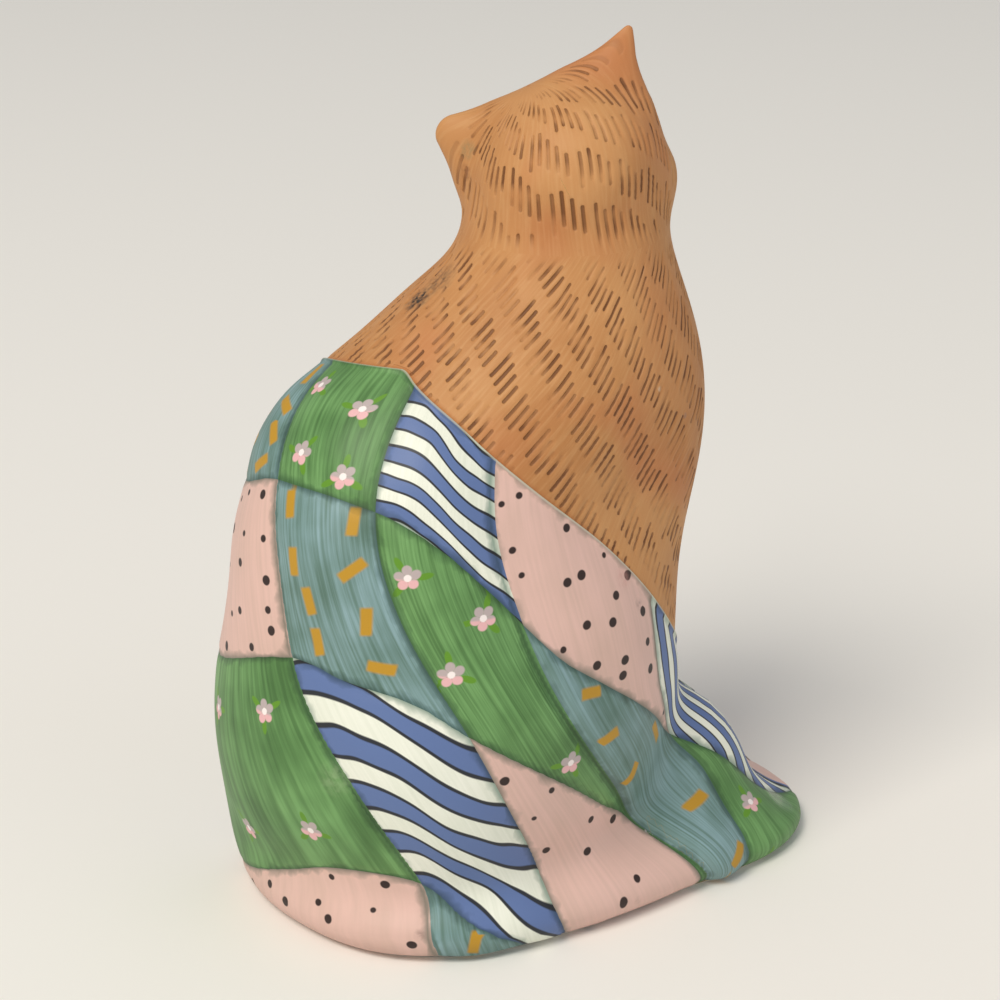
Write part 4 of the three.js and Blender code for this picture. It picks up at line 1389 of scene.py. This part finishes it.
def seamed(tree, colour, place, size, body):
    """Colour with soft dark brushwork along the seams and a cream line along the upper edge."""
    half = (0.5, 0.5, 0)
    near = node(tree, "VectorMath", (place, half), operation="ADD")
    near = node(tree, "VectorMath", (near,), operation="FRACTION")
    near = node(tree, "VectorMath", (near, half), operation="SUBTRACT")
    near = node(tree, "VectorMath", (near,), operation="ABSOLUTE")
    near = node(tree, "VectorMath", (near, size), operation="MULTIPLY")
    beside = node(tree, "SeparateXYZ", (near,), output=0)
    below = node(tree, "SeparateXYZ", (near,), output=1)
    to_seam = node(tree, "Math", (beside, below), operation="MINIMUM")
    brushwork = node(tree, "TexNoise", {"Vector": body, "Scale": 1 / (SEAM_BRUSHWORK * MM),
                                        "Detail": 2.0})
    least, most, end, strength = SEAM_SHADE
    reach = node(tree, "MapRange", (brushwork, 0.3, 0.7, least, most))
    soft = node(tree, "MapRange", {"Value": to_seam, "From Min": reach, "From Max": end,
                                   "To Min": 0.0, "To Max": strength})
    darker = node(tree, "Mix", {0: 1.0, 6: colour, 7: linear("#76938B")}, output=2,
                  data_type="RGBA", blend_type="MULTIPLY")
    colour = node(tree, "Mix", {0: soft, 6: colour, 7: darker}, output=2, data_type="RGBA")
    from_edge = node(tree, "SeparateXYZ", (node(tree, "UVMap", uv_map="fade"),), output=1)
    start, end, strength = EDGE_LINE
    edge = node(tree, "MapRange", (from_edge, start, end, 0.0, strength))
    return node(tree, "Mix", {0: edge, 6: colour, 7: linear("#DDD9C2")}, output=2,
                data_type="RGBA")


def underside_material():
    """Bare biscuit: unglazed, dull and chalky, with a fine grain from the fired clay."""
    material, tree, shader = new_material("bare unglazed porcelain", UNDERSIDE_ROUGHNESS)
    body = node(tree, "TexCoord", output="Object")
    grain = node(tree, "TexNoise", {"Vector": body, "Scale": 1 / (UNDERSIDE_GRAIN * MM),
                                    "Detail": 3.0})
    colour = node(tree, "Mix", {0: grain, 6: linear("#E4DCCD"), 7: linear("#F1EBDF")}, output=2,
                  data_type="RGBA")
    tree.links.new(colour, shader.inputs["Base Color"])
    normal = node(tree, "Bump", {"Strength": 0.4, "Distance": UNDERSIDE_BUMP * MM,
                                 "Height": grain})
    tree.links.new(normal, shader.inputs["Normal"])
    return material


def finished(object_name, mesh):
    """A new object in the scene, at the origin."""
    made = bpy.data.objects.new(object_name, mesh)
    bpy.context.scene.collection.objects.link(made)
    return made


class CatSettings(bpy.types.PropertyGroup):
    """Sizes and colours of the figurine."""

    quilt_thickness: FloatProperty(
        name="Quilt thickness", description="How far the quilt stands out from the coat",
        default=1.4 * MM, min=0.0, unit="LENGTH")
    padding: FloatProperty(
        name="Padding", description="How far a seam is drawn down between padded patches",
        default=1.2 * MM, min=0.0, unit="LENGTH")
    stroke_depth: FloatProperty(
        name="Fur stroke depth", description="Depth of the strokes pressed into the coat",
        default=0.3 * MM, min=0.0, unit="LENGTH")
    coat: FloatVectorProperty(
        name="Coat", description="Colour of the coat", subtype="COLOR",
        default=linear("#C78F58")[:3])
    coat_dark: FloatVectorProperty(
        name="Darker coat", description="Colour of the coat's darker clouds", subtype="COLOR",
        default=linear("#B67C46")[:3])
    coat_light: FloatVectorProperty(
        name="Lighter coat", description="Colour left between brush marks", subtype="COLOR",
        default=linear("#D2A26D")[:3])
    stain: FloatVectorProperty(
        name="Stain", description="Brown stain in the fur strokes", subtype="COLOR",
        default=linear("#74461F")[:3])
    green: FloatVectorProperty(
        name="Green", description="Wash of the flowered patches", subtype="COLOR",
        default=linear("#77A866")[:3])
    blue: FloatVectorProperty(
        name="Blue grey", description="Wash of the dashed patches", subtype="COLOR",
        default=linear("#8BAAB0")[:3])
    pink: FloatVectorProperty(
        name="Pink", description="Wash of the dotted patches", subtype="COLOR",
        default=linear("#E3BDB2")[:3])
    cream: FloatVectorProperty(
        name="Cream", description="Ground of the striped patches", subtype="COLOR",
        default=linear("#F1F3E6")[:3])
    stripe: FloatVectorProperty(
        name="Stripe", description="Blue of the wavy stripes", subtype="COLOR",
        default=linear("#5D74A6")[:3])
    mustard: FloatVectorProperty(
        name="Mustard", description="Colour of the dashes", subtype="COLOR",
        default=linear("#BC8E1E")[:3])


class StageSettings(bpy.types.PropertyGroup):
    """Floor, camera and lights."""

    floor: FloatVectorProperty(
        name="Floor", description="Colour of the floor", subtype="COLOR",
        default=linear("#F3F1EC")[:3])
    azimuth: FloatProperty(
        name="Azimuth", description="Angle of the camera round the figurine",
        default=math.radians(230), subtype="ANGLE")
    elevation: FloatProperty(
        name="Elevation", description="Angle of the camera above the floor",
        default=math.radians(21), subtype="ANGLE")
    distance: FloatProperty(
        name="Distance", description="Distance from the camera to the figurine",
        default=610 * MM, unit="LENGTH")
    lens: FloatProperty(
        name="Lens", description="Focal length in millimetres", default=100.0)
    aim_height: FloatProperty(
        name="Aim height", description="Height that the camera looks at",
        default=87 * MM, unit="LENGTH")


class CAT_OT_figurine(bpy.types.Operator):
    """Makes the porcelain cat, wrapped in its quilt"""

    bl_idname = "cat.figurine"
    bl_label = "Porcelain cat"

    def execute(self, context):
        settings = context.scene.cat_settings
        mesh = cat_mesh(settings)
        for material in (underside_material(), quilt_material(settings),
                         coat_material("stained bisque coat", COAT_SLANT, settings,
                                       COAT_MARKS, False),
                         coat_material("stained bisque head", HEAD_SLANT, settings,
                                       HEAD_MARKS, True)):
            mesh.materials.append(material)
        piece = finished("porcelain_cat", mesh)
        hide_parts(NODE)
        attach(piece, "root")
        return {"FINISHED"}


class CAT_OT_stage(bpy.types.Operator):
    """Makes the floor, the lights and the camera"""

    bl_idname = "cat.stage"
    bl_label = "Floor, lights and camera"

    def execute(self, context):
        settings = context.scene.stage_settings
        context.scene.view_settings.view_transform = "Standard"
        made_floor(settings)
        made_lights()
        made_camera(context.scene, settings)
        return {"FINISHED"}


def made_floor(settings):
    """A wide, plain floor."""
    corners = [(x * FLOOR_HALF, y * FLOOR_HALF, 0)
               for x, y in ((-1, -1), (1, -1), (1, 1), (-1, 1))]
    mesh = bpy.data.meshes.new("floor")
    mesh.from_pydata(corners, [], [(0, 1, 2, 3)])
    material, _, shader = new_material("plain pale floor", FLOOR_ROUGHNESS)
    shader.inputs["Base Color"].default_value = (*settings.floor, 1)
    mesh.materials.append(material)
    return finished("floor", mesh)


def made_lights():
    """Soft light from the upper left of the picture, a weak fill from the right, and a pale sky."""
    lights = []
    for name, azimuth, elevation, distance, size, watts, hexadecimal in LIGHTS:
        data = bpy.data.lights.new(name, "AREA")
        data.size = size
        data.energy = watts
        data.color = linear(hexadecimal)[:3]
        light = finished(name, data)
        away = direction_of(math.radians(azimuth), math.radians(elevation))
        light.location = away * distance + Vector((0, 0, LIGHTS_AIM))
        light.rotation_mode = "QUATERNION"
        light.rotation_quaternion = (-away).to_track_quat("-Z", "Y")
        lights.append(light)
    world = bpy.data.worlds.new("pale sky")
    world.use_nodes = True
    background = world.node_tree.nodes["Background"]
    background.inputs["Color"].default_value = linear("#F2F3F5")
    background.inputs["Strength"].default_value = SKY_STRENGTH
    bpy.context.scene.world = world
    return lights


def direction_of(azimuth, elevation):
    """Level angle from the figurine's front and angle above the floor, as a direction."""
    return Vector((math.sin(azimuth) * math.cos(elevation),
                   -math.cos(azimuth) * math.cos(elevation), math.sin(elevation)))


def made_camera(scene, settings):
    """The camera, aimed at the form's own upright axis."""
    data = bpy.data.cameras.new("camera")
    data.lens = settings.lens
    camera = finished("camera", data)
    away = direction_of(settings.azimuth, settings.elevation)
    target = Vector((-FORM_MIDDLE[0] * MM, -FORM_MIDDLE[1] * MM, settings.aim_height))
    camera.location = target + away * settings.distance
    camera.rotation_mode = "QUATERNION"
    camera.rotation_quaternion = (-away).to_track_quat("-Z", "Y")
    scene.camera = camera
    return camera


class CAT_PT_panel(bpy.types.Panel):
    """Lists the figurine's sizes and colours and its operators"""

    bl_label = "Cat figurine"
    bl_space_type = "VIEW_3D"
    bl_region_type = "UI"
    bl_category = "Cat figurine"

    def draw(self, context):
        for settings, operator in ((context.scene.cat_settings, CAT_OT_figurine),
                                   (context.scene.stage_settings, CAT_OT_stage)):
            box = self.layout.box()
            for name in settings.__annotations__:
                box.prop(settings, name)
            box.operator(operator.bl_idname)


CLASSES = (CatSettings, StageSettings, CAT_OT_figurine, CAT_OT_stage, CAT_PT_panel)


def register():
    for each in CLASSES:
        bpy.utils.register_class(each)
    bpy.types.Scene.cat_settings = PointerProperty(type=CatSettings)
    bpy.types.Scene.stage_settings = PointerProperty(type=StageSettings)


def unregister():
    del bpy.types.Scene.stage_settings
    del bpy.types.Scene.cat_settings
    for each in reversed(CLASSES):
        bpy.utils.unregister_class(each)


def main():
    """Makes the figurine and its stage."""
    register()
    bpy.ops.cat.figurine()
    bpy.ops.cat.stage()


if __name__ == "__main__":
    main()
